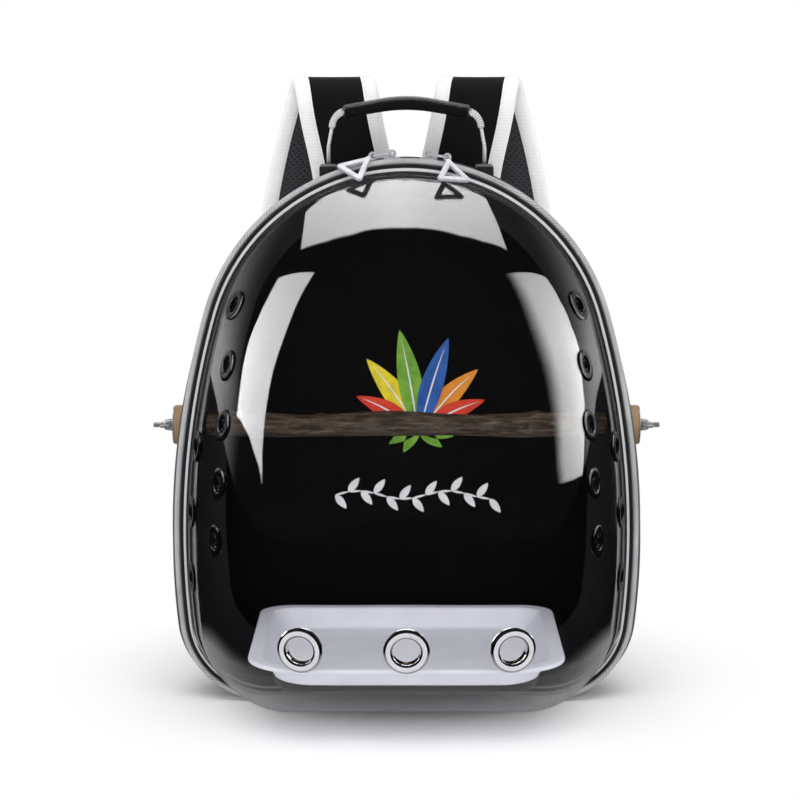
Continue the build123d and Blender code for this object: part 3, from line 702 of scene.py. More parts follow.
@dataclass(frozen=True)
class Moulding(Finish):
    """Injection-moulded plastic: an even colour, a soft orange-peel and fine handling marks."""

    colour: str = "#202022"
    shade: str = "#1A1A1C"
    grain: float = 0.8
    depth: float = 0.02

    def make(self) -> Material:
        """Makes the material."""
        material, tree, shader = self.start()
        where = in_millimetres(tree)
        mottle = noise(tree, where, 26.0, 3.0)
        tree.links.new(
            add_ramp(tree, mottle, ((0.3, self.shade), (0.7, self.colour))), shader.inputs["Base Color"]
        )
        scuff = noise(tree, where, 5.0, 6.0, 0.7)
        rough = add_node(
            tree, "ShaderNodeMapRange", links=[(scuff, "Value")],
            values={
                "From Min": 0.3, "From Max": 0.7, "To Min": max(0.05, self.roughness - 0.06),
                "To Max": self.roughness + 0.08
            }
        )
        tree.links.new(rough.outputs[0], shader.inputs["Roughness"])
        bumped(tree, shader, noise(tree, where, self.grain, 2.0), self.depth)
        return material


class Weave(Enum):
    """The ways that the carrier's cloths are woven."""

    PLAIN = "plain"  # threads crossing one over one, as in Oxford cloth
    TWILL = "twill"  # a diagonal rib
    RIB = "rib"  # ribs across a tape or webbing
    NET = "net"  # an open mesh of diamond holes


@dataclass(frozen=True)
class Cloth(Finish):
    """Woven polyester: threads with their own height and shade, and a soft sheen at grazing angles."""

    thread: str = "#1B1B1D"
    gap: str = "#08080A"
    weave: Weave = Weave.PLAIN
    pitch: float = 0.9
    depth: float = 0.16
    mapped: bool = False
    tilt: float = 0.0
    specular: float = 0.2

    def threads(self, tree: Tree, where: Socket) -> Socket:
        """Adds the weave's height pattern.

        Args:
            tree: The material's node tree.
            where: The coordinates, in millimetres.

        Returns:
            The height, from 0 in the gaps to 1 on the threads.
        """
        if self.weave is Weave.PLAIN:
            warp = waves(tree, where, self.pitch, "X", 0.4)
            weft = waves(tree, where, self.pitch, "Y", 0.4)
            if not self.mapped:
                weft = maths(
                    tree, "MAXIMUM", weft,
                    maths(tree, "MULTIPLY", waves(tree, where, self.pitch, "Z", 0.4), 0.9)
                )
            return maths(tree, "MAXIMUM", warp, maths(tree, "MULTIPLY", weft, 0.92))
        if self.weave is Weave.TWILL:
            rib = waves(tree, where, self.pitch, "X", 0.6)
            fine = waves(tree, where, self.pitch * 0.45, "Y" if self.mapped else "Z", 0.5)
            return maths(tree, "ADD", maths(tree, "MULTIPLY", rib, 0.8), maths(tree, "MULTIPLY", fine, 0.2))
        second = "Y" if self.mapped else "Z"
        if self.weave is Weave.RIB:
            rib = waves(tree, where, self.pitch, second, 0.5)
            fine = waves(tree, where, self.pitch * 0.8, "X", 0.5)
            return maths(tree, "ADD", maths(tree, "MULTIPLY", rib, 0.7), maths(tree, "MULTIPLY", fine, 0.3))
        across = waves(tree, where, self.pitch, "X")
        along = waves(tree, where, self.pitch, second)
        return maths(
            tree, "SUBTRACT", 1.0,
            maths(tree, "MULTIPLY", maths(tree, "POWER", across, 1.6), maths(tree, "POWER", along, 1.6))
        )

    def make(self) -> Material:
        """Makes the material."""
        material, tree, shader = self.start()
        if self.mapped:
            where = on_the_cloth(tree, self.tilt)
        else:
            where = in_millimetres(tree, (0, self.tilt, 0))
        height = self.threads(tree, where)
        fade = noise(tree, where, 34.0, 4.0, 0.6)
        shade = maths(tree, "MULTIPLY_ADD", maths(tree, "SUBTRACT", fade, 0.5), 0.7, height, clamp=True)
        tree.links.new(
            add_ramp(tree, shade, ((0.12, self.gap), (0.8, self.thread))), shader.inputs["Base Color"]
        )
        bumped(tree, shader, height, self.depth, 0.8)
        return material


@dataclass(frozen=True)
class Leatherette(Finish):
    """Embossed PVC leatherette: small pebbles with a dull gloss, their colour painted lighter on their tops and
    near black in the creases as painted highlight and shade.
    """

    def make(self) -> Material:
        """Makes the material."""
        material, tree, shader = self.start()
        where = in_millimetres(tree)
        pebble = add_node(
            tree, "ShaderNodeTexVoronoi", settings={"feature": "DISTANCE_TO_EDGE"}, links=[(where, "Vector")],
            values={"Scale": 1 / 1.5}
        )
        height = maths(tree, "MULTIPLY", pebble.outputs["Distance"], 2.4, clamp=True)
        # the pebble height also sets the colour: near black in the creases as painted shade, lighter on the
        # tops as painted highlight
        tree.links.new(
            add_ramp(tree, height, ((0.0, "#060606"), (0.6, "#19191A"))), shader.inputs["Base Color"]
        )
        bumped(tree, shader, height, 0.22)
        return material


@dataclass(frozen=True)
class Bark(Finish):
    """A branch with its bark on: long dark furrows, paler ridges, lichen-grey patches and knots."""

    def make(self) -> Material:
        """Makes the material."""
        material, tree, shader = self.start()
        place = add_node(tree, "ShaderNodeTexCoord")
        drawn = add_node(
            tree, "ShaderNodeMapping", links=[(place.outputs["Object"], "Vector")],
            values={"Scale": (130, 1000, 1000)}
        )
        furrow = noise(tree, drawn.outputs["Vector"], 2.6, 6.0, 0.68)
        patch = noise(tree, in_millimetres(tree), 17.0, 5.0, 0.65)
        fleck = noise(tree, in_millimetres(tree), 1.8, 4.0, 0.7)
        base = add_ramp(
            tree, furrow, ((0.3, "#150E0A"), (0.45, "#30241B"), (0.56, "#4E3F30"), (0.7, "#7A6650"))
        )
        mixed = add_node(
            tree, "ShaderNodeMix", settings={"data_type": "RGBA"},
            links=[
                (maths(tree, "MULTIPLY", maths(tree, "SUBTRACT", patch, 0.48, clamp=True), 3.0, clamp=True), 0),
                (base, 6)
            ],
            values={7: linear("#574E45")}
        )
        tree.links.new(mixed.outputs[2], shader.inputs["Base Color"])
        height = maths(tree, "ADD", furrow, maths(tree, "MULTIPLY", fleck, 0.35))
        bumped(tree, shader, height, 1.1)
        return material


@dataclass(frozen=True)
class Ink(Finish):
    """Screen-printed ink: an opaque, slightly raised film with a soft gloss."""

    colour: str = "#FFFFFF"
    deep: str = "#DDDDDD"

    def make(self) -> Material:
        """Makes the material."""
        material, tree, shader = self.start()
        where = in_millimetres(tree)
        blot = noise(tree, where, 7.0, 3.0)
        tree.links.new(
            add_ramp(tree, blot, ((0.3, self.deep), (0.65, self.colour))), shader.inputs["Base Color"]
        )
        bumped(tree, shader, noise(tree, where, 0.8, 2.0), 0.03)
        return material


class Finishes:
    """Makes each finish once and hands it out by name."""

    def __init__(self) -> None:
        """Lists the finishes."""
        twill = math.radians(45)
        self.kinds: dict[str, Finish] = {
            "shell": Polycarbonate("clear_polycarbonate", roughness=0.02, ior=1.58, transmission=1.0),
            # the band round the flange is light grey and mostly opaque: a painted highlight standing in for the
            # bright reflection along the rounded rim
            "shell_rim_painted_highlight": Polycarbonate(
                "polycarbonate_rim_painted_highlight", roughness=0.22, ior=1.58, transmission=0.25, colour="#DEE0E2"
            ),
            "chrome": PlatedMetal(
                "chromed_brass", roughness=0.08, metallic=1.0, colour="#E6E7E9", worn="#D6D7DA", cloud=9.0
            ),
            # the front eyelets' flat crowns: a light, barely metallic colour that stands in for the white
            # surroundings they reflect, a painted reflection
            "crown_painted_reflection": PlatedMetal(
                "crown_brass_painted_reflection", roughness=0.3, metallic=0.2, colour="#DDDDE2", worn="#D2D2D8", cloud=9.0
            ),
            # the vent eyelets: a near-black metal colour, a painted dark reflection, so that seen edge-on they
            # show as dark ovals with glints
            "vent_metal_painted_reflection": PlatedMetal(
                "dark_brass_painted_reflection", roughness=0.12, metallic=0.9, colour="#3A3B3E", worn="#222326",
                cloud=4.0
            ),
            "zinc": PlatedMetal(
                "zinc_plated_steel", roughness=0.28, metallic=0.6, colour="#B9BABC", worn="#8A8C90"
            ),
            "nickel": PlatedMetal(
                "satin_nickelled_zinc", roughness=0.34, metallic=0.3, colour="#BFC0C3", worn="#ABACB0",
                cloud=5.0
            ),
            "tray": Moulding(
                "polypropylene_tray", roughness=0.36, colour="#E6E6F0", shade="#DEDEE9", grain=1.6, depth=0.012
            ),
            "black_plastic": Moulding("acetal_buckle", roughness=0.34, colour="#1D1D1F", shade="#141416"),
            "board": Moulding("polyethylene_board", roughness=0.5, colour="#26262A", shade="#1B1B1F"),
            "fibre": Moulding(
                "fibre_washer", roughness=0.75, colour="#A98B69", shade="#8A7052", grain=0.5, depth=0.08
            ),
            "rubber": Moulding("rubber_spacer", roughness=0.7, colour="#1A1A1A", shade="#101010"),
            "teeth": Moulding("nylon_zip_coil", roughness=0.35, colour="#1E1F21", shade="#101012"),
            "oxford": Cloth(
                "oxford_polyester", roughness=0.85, sheen=0.12, thread="#232326", gap="#0B0B0D", pitch=1.3,
                depth=0.2
            ),
            "lining": Cloth(
                "lining_polyester", roughness=0.9, sheen=0.02, specular=0.08, thread="#0A0A0B", gap="#030304",
                pitch=1.1, depth=0.12
            ),
            "strap_face": Cloth(
                "strap_polyester", roughness=0.85, sheen=0.05, thread="#151517", gap="#050506", pitch=1.0,
                depth=0.14, mapped=True
            ),
            "binding": Cloth(
                "grosgrain_binding", roughness=0.8, sheen=0.15, thread="#1B1B1C", gap="#0A0A0B",
                weave=Weave.RIB, pitch=0.9, depth=0.14, mapped=True
            ),
            "piping": Cloth(
                "twill_piping", roughness=0.8, sheen=0.2, thread="#CDCED0", gap="#46474A", weave=Weave.TWILL,
                pitch=1.15, depth=0.2, mapped=True, tilt=twill
            ),
            "back_piping": Cloth(
                "twill_back_piping", roughness=0.8, sheen=0.2, thread="#BEBFC2", gap="#46474A",
                weave=Weave.TWILL, pitch=1.15, depth=0.2, tilt=twill
            ),
            "zip_tape": Cloth(
                "zip_tape_polyester", roughness=0.85, sheen=0.2, thread="#77787B", gap="#3C3D40",
                weave=Weave.TWILL, pitch=1.1, depth=0.14, tilt=twill
            ),
            "white_binding": Cloth(
                "white_strap_binding", roughness=0.85, sheen=0.1, thread="#F6F6F7", gap="#DCDCDF",
                weave=Weave.RIB, pitch=1.1, depth=0.16, mapped=True
            ),
            "air_mesh": Cloth(
                "spacer_mesh", roughness=0.9, sheen=0.3, thread="#38393C", gap="#020203", weave=Weave.NET,
                pitch=3.2, depth=0.9, mapped=True, tilt=twill
            ),
            "pad_mesh": Cloth(
                "pad_spacer_mesh", roughness=0.9, sheen=0.3, thread="#2B2B2E", gap="#020203", weave=Weave.NET,
                pitch=3.4, depth=0.9, tilt=twill
            ),
            "grey_webbing": Cloth(
                "grey_webbing", roughness=0.8, sheen=0.2, thread="#D6D6D8", gap="#8A8B8E", weave=Weave.RIB,
                pitch=1.6, depth=0.3, mapped=True
            ),
            "black_webbing": Cloth(
                "black_webbing", roughness=0.8, sheen=0.3, thread="#29292B", gap="#0A0A0B", weave=Weave.RIB,
                pitch=1.6, depth=0.3
            ),
            "handle_webbing": Cloth(
                "handle_webbing", roughness=0.8, sheen=0.2, thread="#E2E2E4", gap="#A2A3A6", weave=Weave.RIB,
                pitch=1.6, depth=0.3, mapped=True
            ),
            "thread_white": Cloth(
                "white_thread", roughness=0.6, sheen=0.3, thread="#F4F4F4", gap="#B9B9BC", weave=Weave.RIB,
                pitch=0.5, depth=0.1
            ),
            "thread_black": Cloth(
                "black_thread", roughness=0.6, sheen=0.3, thread="#2A2A2C", gap="#0C0C0D", weave=Weave.RIB,
                pitch=0.5, depth=0.1
            ),
            "leatherette": Leatherette("pvc_leatherette", roughness=0.34, coat=0.25, coat_roughness=0.3),
            "bark": Bark("branch_bark", roughness=0.78),
            "ink_white": Ink("white_ink", roughness=0.45, colour="#F5F5F5", deep="#E4E4E6"),
            "ink_green": Ink("green_ink", roughness=0.45, colour="#84B73A", deep="#5E9A2B"),
            "ink_yellow": Ink("yellow_ink", roughness=0.45, colour="#F4E12F", deep="#E3C81F"),
            "ink_blue": Ink("blue_ink", roughness=0.45, colour="#2E66B8", deep="#2353A0"),
            "ink_red": Ink("red_ink", roughness=0.45, colour="#E8452B", deep="#CF3423"),
            "ink_orange": Ink("orange_ink", roughness=0.45, colour="#F39A2D", deep="#E2841E")
        }
        self.made: dict[str, Material] = {}

    def get(self, name: str) -> Material:
        """Returns a finish's material, made on its first use."""
        if name not in self.made:
            self.made[name] = self.kinds[name].make()
        return self.made[name]


# ------------------------------------------------------------------ rows made by Geometry Nodes


@dataclass(frozen=True)
class Row:
    """Small rounded links at an even pitch along a path, such as teeth or stitches, in millimetres."""

    pitch: float
    length: float
    width: float
    height: float
    closed: bool = False

    def tree(self, material: Material) -> bpy.types.GeometryNodeTree:
        """Builds the node tree that puts a rounded link at every pitch of the path.

        Args:
            material: The links' finish.

        Returns:
            The node tree, with named inputs for its sizes.
        """
        tree = bpy.data.node_groups.new(f"row_of_{material.name}", "GeometryNodeTree")
        face = tree.interface
        face.new_socket("Path", in_out="INPUT", socket_type="NodeSocketGeometry")
        for name in ("Pitch", "Length", "Width", "Height"):
            face.new_socket(name, in_out="INPUT", socket_type="NodeSocketFloat")
        face.new_socket("Links", in_out="OUTPUT", socket_type="NodeSocketGeometry")
        given = add_node(tree, "NodeGroupInput")
        curve = add_node(tree, "GeometryNodeMeshToCurve", links=[(given.outputs["Path"], 0)])
        spaced = add_node(
            tree, "GeometryNodeResampleCurve", settings={"mode": "LENGTH"},
            links=[(curve.outputs[0], "Curve"), (given.outputs["Pitch"], "Length")]
        )
        tangent = add_node(tree, "GeometryNodeInputTangent")
        out = add_node(
            tree, "GeometryNodeInputNamedAttribute", settings={"data_type": "FLOAT_VECTOR"},
            values={"Name": "out"}
        )
        along = add_node(
            tree, "FunctionNodeAlignRotationToVector", settings={"axis": "X"},
            links=[(tangent.outputs[0], "Vector")]
        )
        facing = add_node(
            tree, "FunctionNodeAlignRotationToVector", settings={"axis": "Z", "pivot_axis": "X"},
            links=[(along.outputs[0], "Rotation"), (out.outputs[0], "Vector")]
        )
        size = add_node(
            tree, "ShaderNodeCombineXYZ",
            links=[
                (given.outputs["Length"], "X"), (given.outputs["Width"], "Y"), (given.outputs["Height"], "Z")
            ]
        )
        bead = add_node(tree, "GeometryNodeMeshIcoSphere", values={"Radius": 0.5, "Subdivisions": 1})
        placed = add_node(
            tree, "GeometryNodeInstanceOnPoints",
            links=[
                (spaced.outputs[0], "Points"), (bead.outputs[0], "Instance"), (facing.outputs[0], "Rotation"),
                (size.outputs[0], "Scale")
            ]
        )
        real = add_node(tree, "GeometryNodeRealizeInstances", links=[(placed.outputs[0], 0)])
        dressed = add_node(
            tree, "GeometryNodeSetMaterial", links=[(real.outputs[0], 0)], values={"Material": material}
        )
        add_node(tree, "NodeGroupOutput", links=[(dressed.outputs[0], 0)])
        return tree

    def along(self, name: str, paths: Sequence[tuple[np.ndarray, np.ndarray]], material: Material) -> Piece:
        """Makes one piece of links along paths.

        Args:
            name: The piece's name.
            paths: Pairs of the points of a path and the outward direction at each.
            material: The links' finish.

        Returns:
            The finished piece, a plain mesh.
        """
        line = bpy.data.meshes.new(name + "_path")
        points, edges = [], []
        for path, _ in paths:
            base, count = len(points), len(path)
            points += (path * MM).tolist()
            edges += [(base + i, base + i + 1) for i in range(count - 1)]
            if self.closed:
                edges.append((base + count - 1, base))
        line.from_pydata(points, edges, [])
        facing = line.attributes.new("out", "FLOAT_VECTOR", "POINT")
        facing.data.foreach_set("vector", np.concatenate([out for _, out in paths]).astype(float).ravel())
        piece = add_object(name, line)
        modifier = piece.modifiers.new("row", "NODES")
        modifier.node_group = self.tree(material)
        sizes = {"Pitch": self.pitch, "Length": self.length, "Width": self.width, "Height": self.height}
        for item in modifier.node_group.interface.items_tree:
            if item.in_out == "INPUT" and item.name in sizes:
                modifier[item.identifier] = sizes[item.name] * MM
        applied(piece).shade_smooth()
        return piece


# ------------------------------------------------------------------ sub-assemblies


class Assembly:
    """A sub-assembly: it builds its pieces, dresses them and puts them on their bodies."""

    finishes: Finishes

    def settle(self, piece: Piece, body: Body | str, slot: str, nodes: Sequence[str] = ()) -> Piece:
        """Puts a finished piece on its body and hides the nodes that it stands for.

        Args:
            piece: The finished piece.
            body: The body that it rides on.
            slot: The record's material slot; not used.
            nodes: The nodes that it stands for.

        Returns:
            The piece.
        """
        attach(piece, body.value if isinstance(body, Body) else body)
        if nodes:
            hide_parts(*nodes)
        log.info("%s: %d faces", piece.name, len(piece.data.polygons))
        return piece

    def build(self) -> None:
        """Builds every piece of the sub-assembly."""
        raise NotImplementedError


@dataclass
class Dome:
    """The clear shell's shape: arches that shrink towards the nose, each law in its own direction."""

    depth: float = 154.6
    setback: float = 1.0
    nose: float = 130.0
    side_draft: float = 0.26
    top_draft: float = 0.38
    top_fullness: float = 2.6
    belly_rise: float = 6.0

    def arch(self, t: float, inset: float = 0.0) -> Arch:
        """Returns the outline at the fraction t of the depth, inset by a wall."""
        side = (1 - self.side_draft * t) * (1 - t**4) ** 0.25
        top = (1 - self.top_draft * t) * (1 - t**self.top_fullness) ** (1 / self.top_fullness)
        belly = (1 - t**4) ** 0.25
        edge = self.setback + inset
        floor = self.nose - RIM.bottom - edge - self.belly_rise * t
        return Arch(
            (RIM.half_width - edge) * side, self.nose + (RIM.top - edge - self.nose) * top,
            self.nose - floor * belly, (RIM.corner - edge) * side
        )

    def skin(self, inset: float, rows: int, fineness: float) -> np.ndarray:
        """Samples the dome from its rim to its nose, evenly along the surface.

        Args:
            inset: The wall thickness to go in by.
            rows: How many rows to take.
            fineness: How many times the usual number of points to take round each row.

        Returns:
            The points, as rows by columns by 3.
        """
        t = 1 - (1 - np.linspace(0, 1, 900)) ** 4
        t[-1] = 1.0
        spine = np.array([[self.arch(v, inset).half_width, self.arch(v, inset).top, v * self.depth] for v in t])
        run = np.concatenate([[0], np.cumsum(np.linalg.norm(np.diff(spine, axis=0), axis=1))])
        picked = np.interp(np.linspace(0, run[-1], rows), run, t)[:-1]
        net = []
        for v in picked:
            flat = self.arch(v, inset).loop(fineness)[0]
            net.append(stood(flat, FLANGE_Y - v * (self.depth - inset)))
        return np.array(net)


@dataclass
class Eyelets(Assembly):
    """Flanged metal eyelets clenched through the shell."""

    finishes: Finishes
    name: str
    hole: float
    outer: float
    seat: float
    crown: str
    slope: str
    nodes: tuple[str, ...]
    places: list[tuple[np.ndarray, np.ndarray]] = field(default_factory=list)
    rise: float = 1.85

    def build(self) -> None:
        """Builds one eyelet at each place, with its clenched ring behind the wall."""
        draft = Draft()
        inner, wide, up = self.hole - 1.0, self.outer - self.hole, self.rise - 0.35
        throat = (
            (inner, -self.seat - 0.6), (inner, -0.3), (inner + 0.2, 0.35 + up * 0.3),
            (inner + 0.6, 0.35 + up * 0.7), (inner + wide * 0.22, 0.35 + up * 0.95),
            (inner + wide * 0.3, 0.35 + up)
        )
        flange = (
            (inner + wide * 0.3, 0.35 + up), (inner + wide * 0.6, 0.35 + up),
            (inner + wide * 0.86, 0.35 + up * 0.93)
        )
        slope = (
            (inner + wide * 0.86, 0.35 + up * 0.93), (inner + wide * 0.98, 0.35 + up * 0.75),
            (self.outer - 0.45, 0.35 + up * 0.4), (self.outer, 0.35 + up * 0.1), (self.outer - 0.15, 0.3),
            (self.hole - 0.3, 0.32), (self.hole - 0.3, -self.seat - 0.6), (inner, -self.seat - 0.6)
        )
        back = (
            (self.hole + 0.1, -self.seat), (self.outer - 1.2, -self.seat), (self.outer - 1.0, -self.seat - 0.5),
            (self.outer - 1.4, -self.seat - 1.0), (self.hole - 0.2, -self.seat - 1.35),
            (inner, -self.seat - 0.9), (inner, -self.seat - 0.6), (self.hole - 0.3, -self.seat - 0.6)
        )
        for place, facing in self.places:
            lathe(draft, throat, place, facing, 56, 1, True)
            lathe(draft, flange, place, facing, 56, 0, True)
            lathe(draft, slope, place, facing, 56, 1, True)
            lathe(draft, back, place, facing, 56, 1)
        piece = draft.build(self.name, [self.finishes.get(self.crown), self.finishes.get(self.slope)], 50)
        self.settle(piece, Body.DOOR, "grommet_metal", self.nodes)


@dataclass
class ClearShell(Assembly):
    """The clear front shell with its flange and its eyelets; the cloth bound round its edge is made with the
    zip.
    """

    finishes: Finishes
    wall: float = 1.5
    flange_width: float = 2.8
    flange_thickness: float = 1.5
    grommet_pitch: float = 72.5
    grommet_height: float = 74.5
    grommet_hole: float = 10.4
    vent_hole: float = 6.6
    dome: Dome = field(default_factory=Dome)

    def vents(self) -> list[tuple[float, float]]:
        """Returns the depth and height of each vent in a side."""
        inner = [(83 - 56 * (i / 4) ** 2, 137 + 40 * i) for i in range(5)]
        return inner + [(19.0, 97.5 + 48 * i) for i in range(3)]

    def touch(
        self, skin: BVHTree, start: tuple[float, float, float], way: tuple[float, float, float]
    ) -> tuple[np.ndarray, np.ndarray]:
        """Finds where a line first meets the shell.

        Args:
            skin: The search tree of the shell's outside.
            start: Where the line starts, in millimetres.
            way: The line's direction.

        Returns:
            The point, in millimetres, and the outward normal.
        """
        spot, normal, _, _ = skin.ray_cast(Vector(start) * MM, Vector(way))
        if normal.dot(Vector(way)) > 0:
            normal = -normal
        return np.array(spot) * 1000, np.array(normal)

    def build(self) -> None:
        """Builds the shell, pierces it and fits its eyelets and edge."""
        outside = self.dome.skin(0.0, 74, 1.0)
        draft = Draft()
        draft.grid(outside, wrap_columns=True)
        draft.fan(outside[-1])
        probe = draft.build("probe", [])
        skin = BVHTree.FromObject(probe, bpy.context.evaluated_depsgraph_get())
        bpy.data.objects.remove(probe)
        grommets = [
            self.touch(skin, (x, -900, self.grommet_height), (0, 1, 0))
            for x in (-self.grommet_pitch, 0.0, self.grommet_pitch)
        ]
        vents = [
            self.touch(
                skin, (side * 400, FLANGE_Y - depth, height), (-side, 0, 0)
            ) for side in (-1, 1) for depth,
            height in self.vents()
        ]
        shell = self.glass(outside)
        self.pierce(shell, grommets, self.grommet_hole)
        self.pierce(shell, vents, self.vent_hole)
        shell.data.shade_smooth()
        shell.data.set_sharp_from_angle(angle=math.radians(35))
        shell.visible_shadow = shell.visible_diffuse = False
        self.settle(shell, Body.DOOR, "clear_shell", ["front_shell"])
        # the front eyelets' flat crowns carry the painted reflection finish; their slopes stay mirror chrome
        Eyelets(
            self.finishes, "grommets", self.grommet_hole, 16.0, 3.9, "crown_painted_reflection", "chrome",
            ("front_grommets", "front_grommet_washers"), grommets
        ).build()
        # the vent eyelets take the near-black painted reflection finish
        Eyelets(
            self.finishes, "vents", self.vent_hole, 11.5, 2.2, "vent_metal_painted_reflection", "vent_metal_painted_reflection",
            ("vent_eyelets", "vent_eyelet_washers"), vents, 0.95
        ).build()

    def glass(self, outside: np.ndarray) -> Piece:
        """Makes the shell's closed wall, from its nose round the flange to its inside.

        Args:
            outside: The net of the dome's outside.

        Returns:
            The shell, not yet pierced.
        """
        inside = self.dome.skin(self.wall, 74, 1.0)
        edge = np.array(
            [
                (-self.dome.setback - 0.1, -5.2), (-self.dome.setback + 0.15, -3.4),
                (-self.dome.setback + 0.9, -2.1), (-self.dome.setback + 2.0, -self.flange_thickness - 0.05),
                (self.flange_width - 0.25, -self.flange_thickness),
                (self.flange_width, -self.flange_thickness + 0.3), (self.flange_width, -0.25),
                (self.flange_width - 0.25, 0.0), (-self.dome.setback - self.wall + 0.1, 0.0)
            ]
        )
        rim = band(RIM, edge)
        net = np.concatenate([outside[:0:-1], rim, inside[1:]])
        lip = len(outside) - 1
        draft = Draft()
        draft.grid(net[: lip + 1], wrap_columns=True)
        # the rows round the flange take the light grey rim finish, a painted highlight along the rim
        draft.grid(net[lip : lip + 8], wrap_columns=True, slots=1)
        draft.grid(net[lip + 7 :], wrap_columns=True)
        draft.fan(net[0], flip=True)
        draft.fan(net[-1])
        return draft.build("shell", [self.finishes.get("shell"), self.finishes.get("shell_rim_painted_highlight")], 35)

    def pierce(self, shell: Piece, places: list[tuple[np.ndarray, np.ndarray]], radius: float) -> None:
        """Cuts a round hole through the wall at each place.

        Args:
            shell: The shell to cut.
            places: The holes' places and facings.
            radius: The holes' radius.
        """
        draft = Draft()
        for place, facing in places:
            lathe(draft, ((0.01, 7), (radius, 7), (radius, -9), (0.01, -9)), place, facing, 40)
        cutter = draft.build("cutter", [])
        cut = shell.modifiers.new("holes", "BOOLEAN")
        cut.operation = "DIFFERENCE"
        cut.solver = "EXACT"
        cut.object = cutter
        applied(shell)
        bpy.data.objects.remove(cutter)


@dataclass
class ZipAndTrim(Assembly):
    """The shell's binding, the twill piping, and the zip round the body."""

    finishes: Finishes
    piping_radius: float = 2.1
    piping_out: float = 5.55
    piping_behind: float = 1.0
    tooth_pitch: float = 1.75
    tooth_middle: float = 5.6
    rows: tuple[float, float] = (5.8, 8.8)

    def build(self) -> None:
        """Builds the binding, the piping and the two rows of teeth."""
        get = self.finishes.get
        draft = Draft()
        fold = np.array(
            [
                (0.9, -1.7), (1.1, -2.2), (2.0, -2.35), (2.9, -2.1), (3.4, -1.4), (3.42, 0.0), (3.0, 0.55),
                (1.6, 0.6), (1.0, 0.35), (1.1, 0.1), (2.8, 0.05), (2.82, -1.55), (1.2, -1.6)
            ]
        )
        draft.grid(band(RIM, fold), wrap_rows=True, wrap_columns=True)
        self.settle(
            draft.build("edge_binding", [get("binding")], 60), Body.DOOR, "black_binding", ["shell_binding"]
        )

        draft = Draft()
        turns = np.linspace(0, 2 * math.pi, 18, endpoint=False)
        cord = np.stack(
            [
                self.piping_out + self.piping_radius * np.cos(turns),
                self.piping_behind + self.piping_radius * np.sin(turns)
            ],
            axis=1
        )
        draft.grid(band(RIM, cord, 2.0), wrap_rows=True, wrap_columns=True)
        self.settle(draft.build("piping", [get("piping")], 60), Body.DOOR, "grey_piping", ["shell_piping"])

        points, normals = ZIP.loop()
        for name, body, behind, node in (
            ("front_teeth", Body.DOOR, self.rows[0], "front_zip_teeth"),
            ("rear_teeth", Body.CARRIER, self.rows[1], "rear_zip_teeth")
        ):
            flat = points + normals * self.tooth_middle
            path = stood(flat, FLANGE_Y + behind)
            out = stood(normals, 0.0)
            row = Row(self.tooth_pitch, 1.45, 1.7, 2.3, closed=True)
            self.settle(row.along(name, [(path, out)], get("teeth")), body, "zip_teeth", [node])


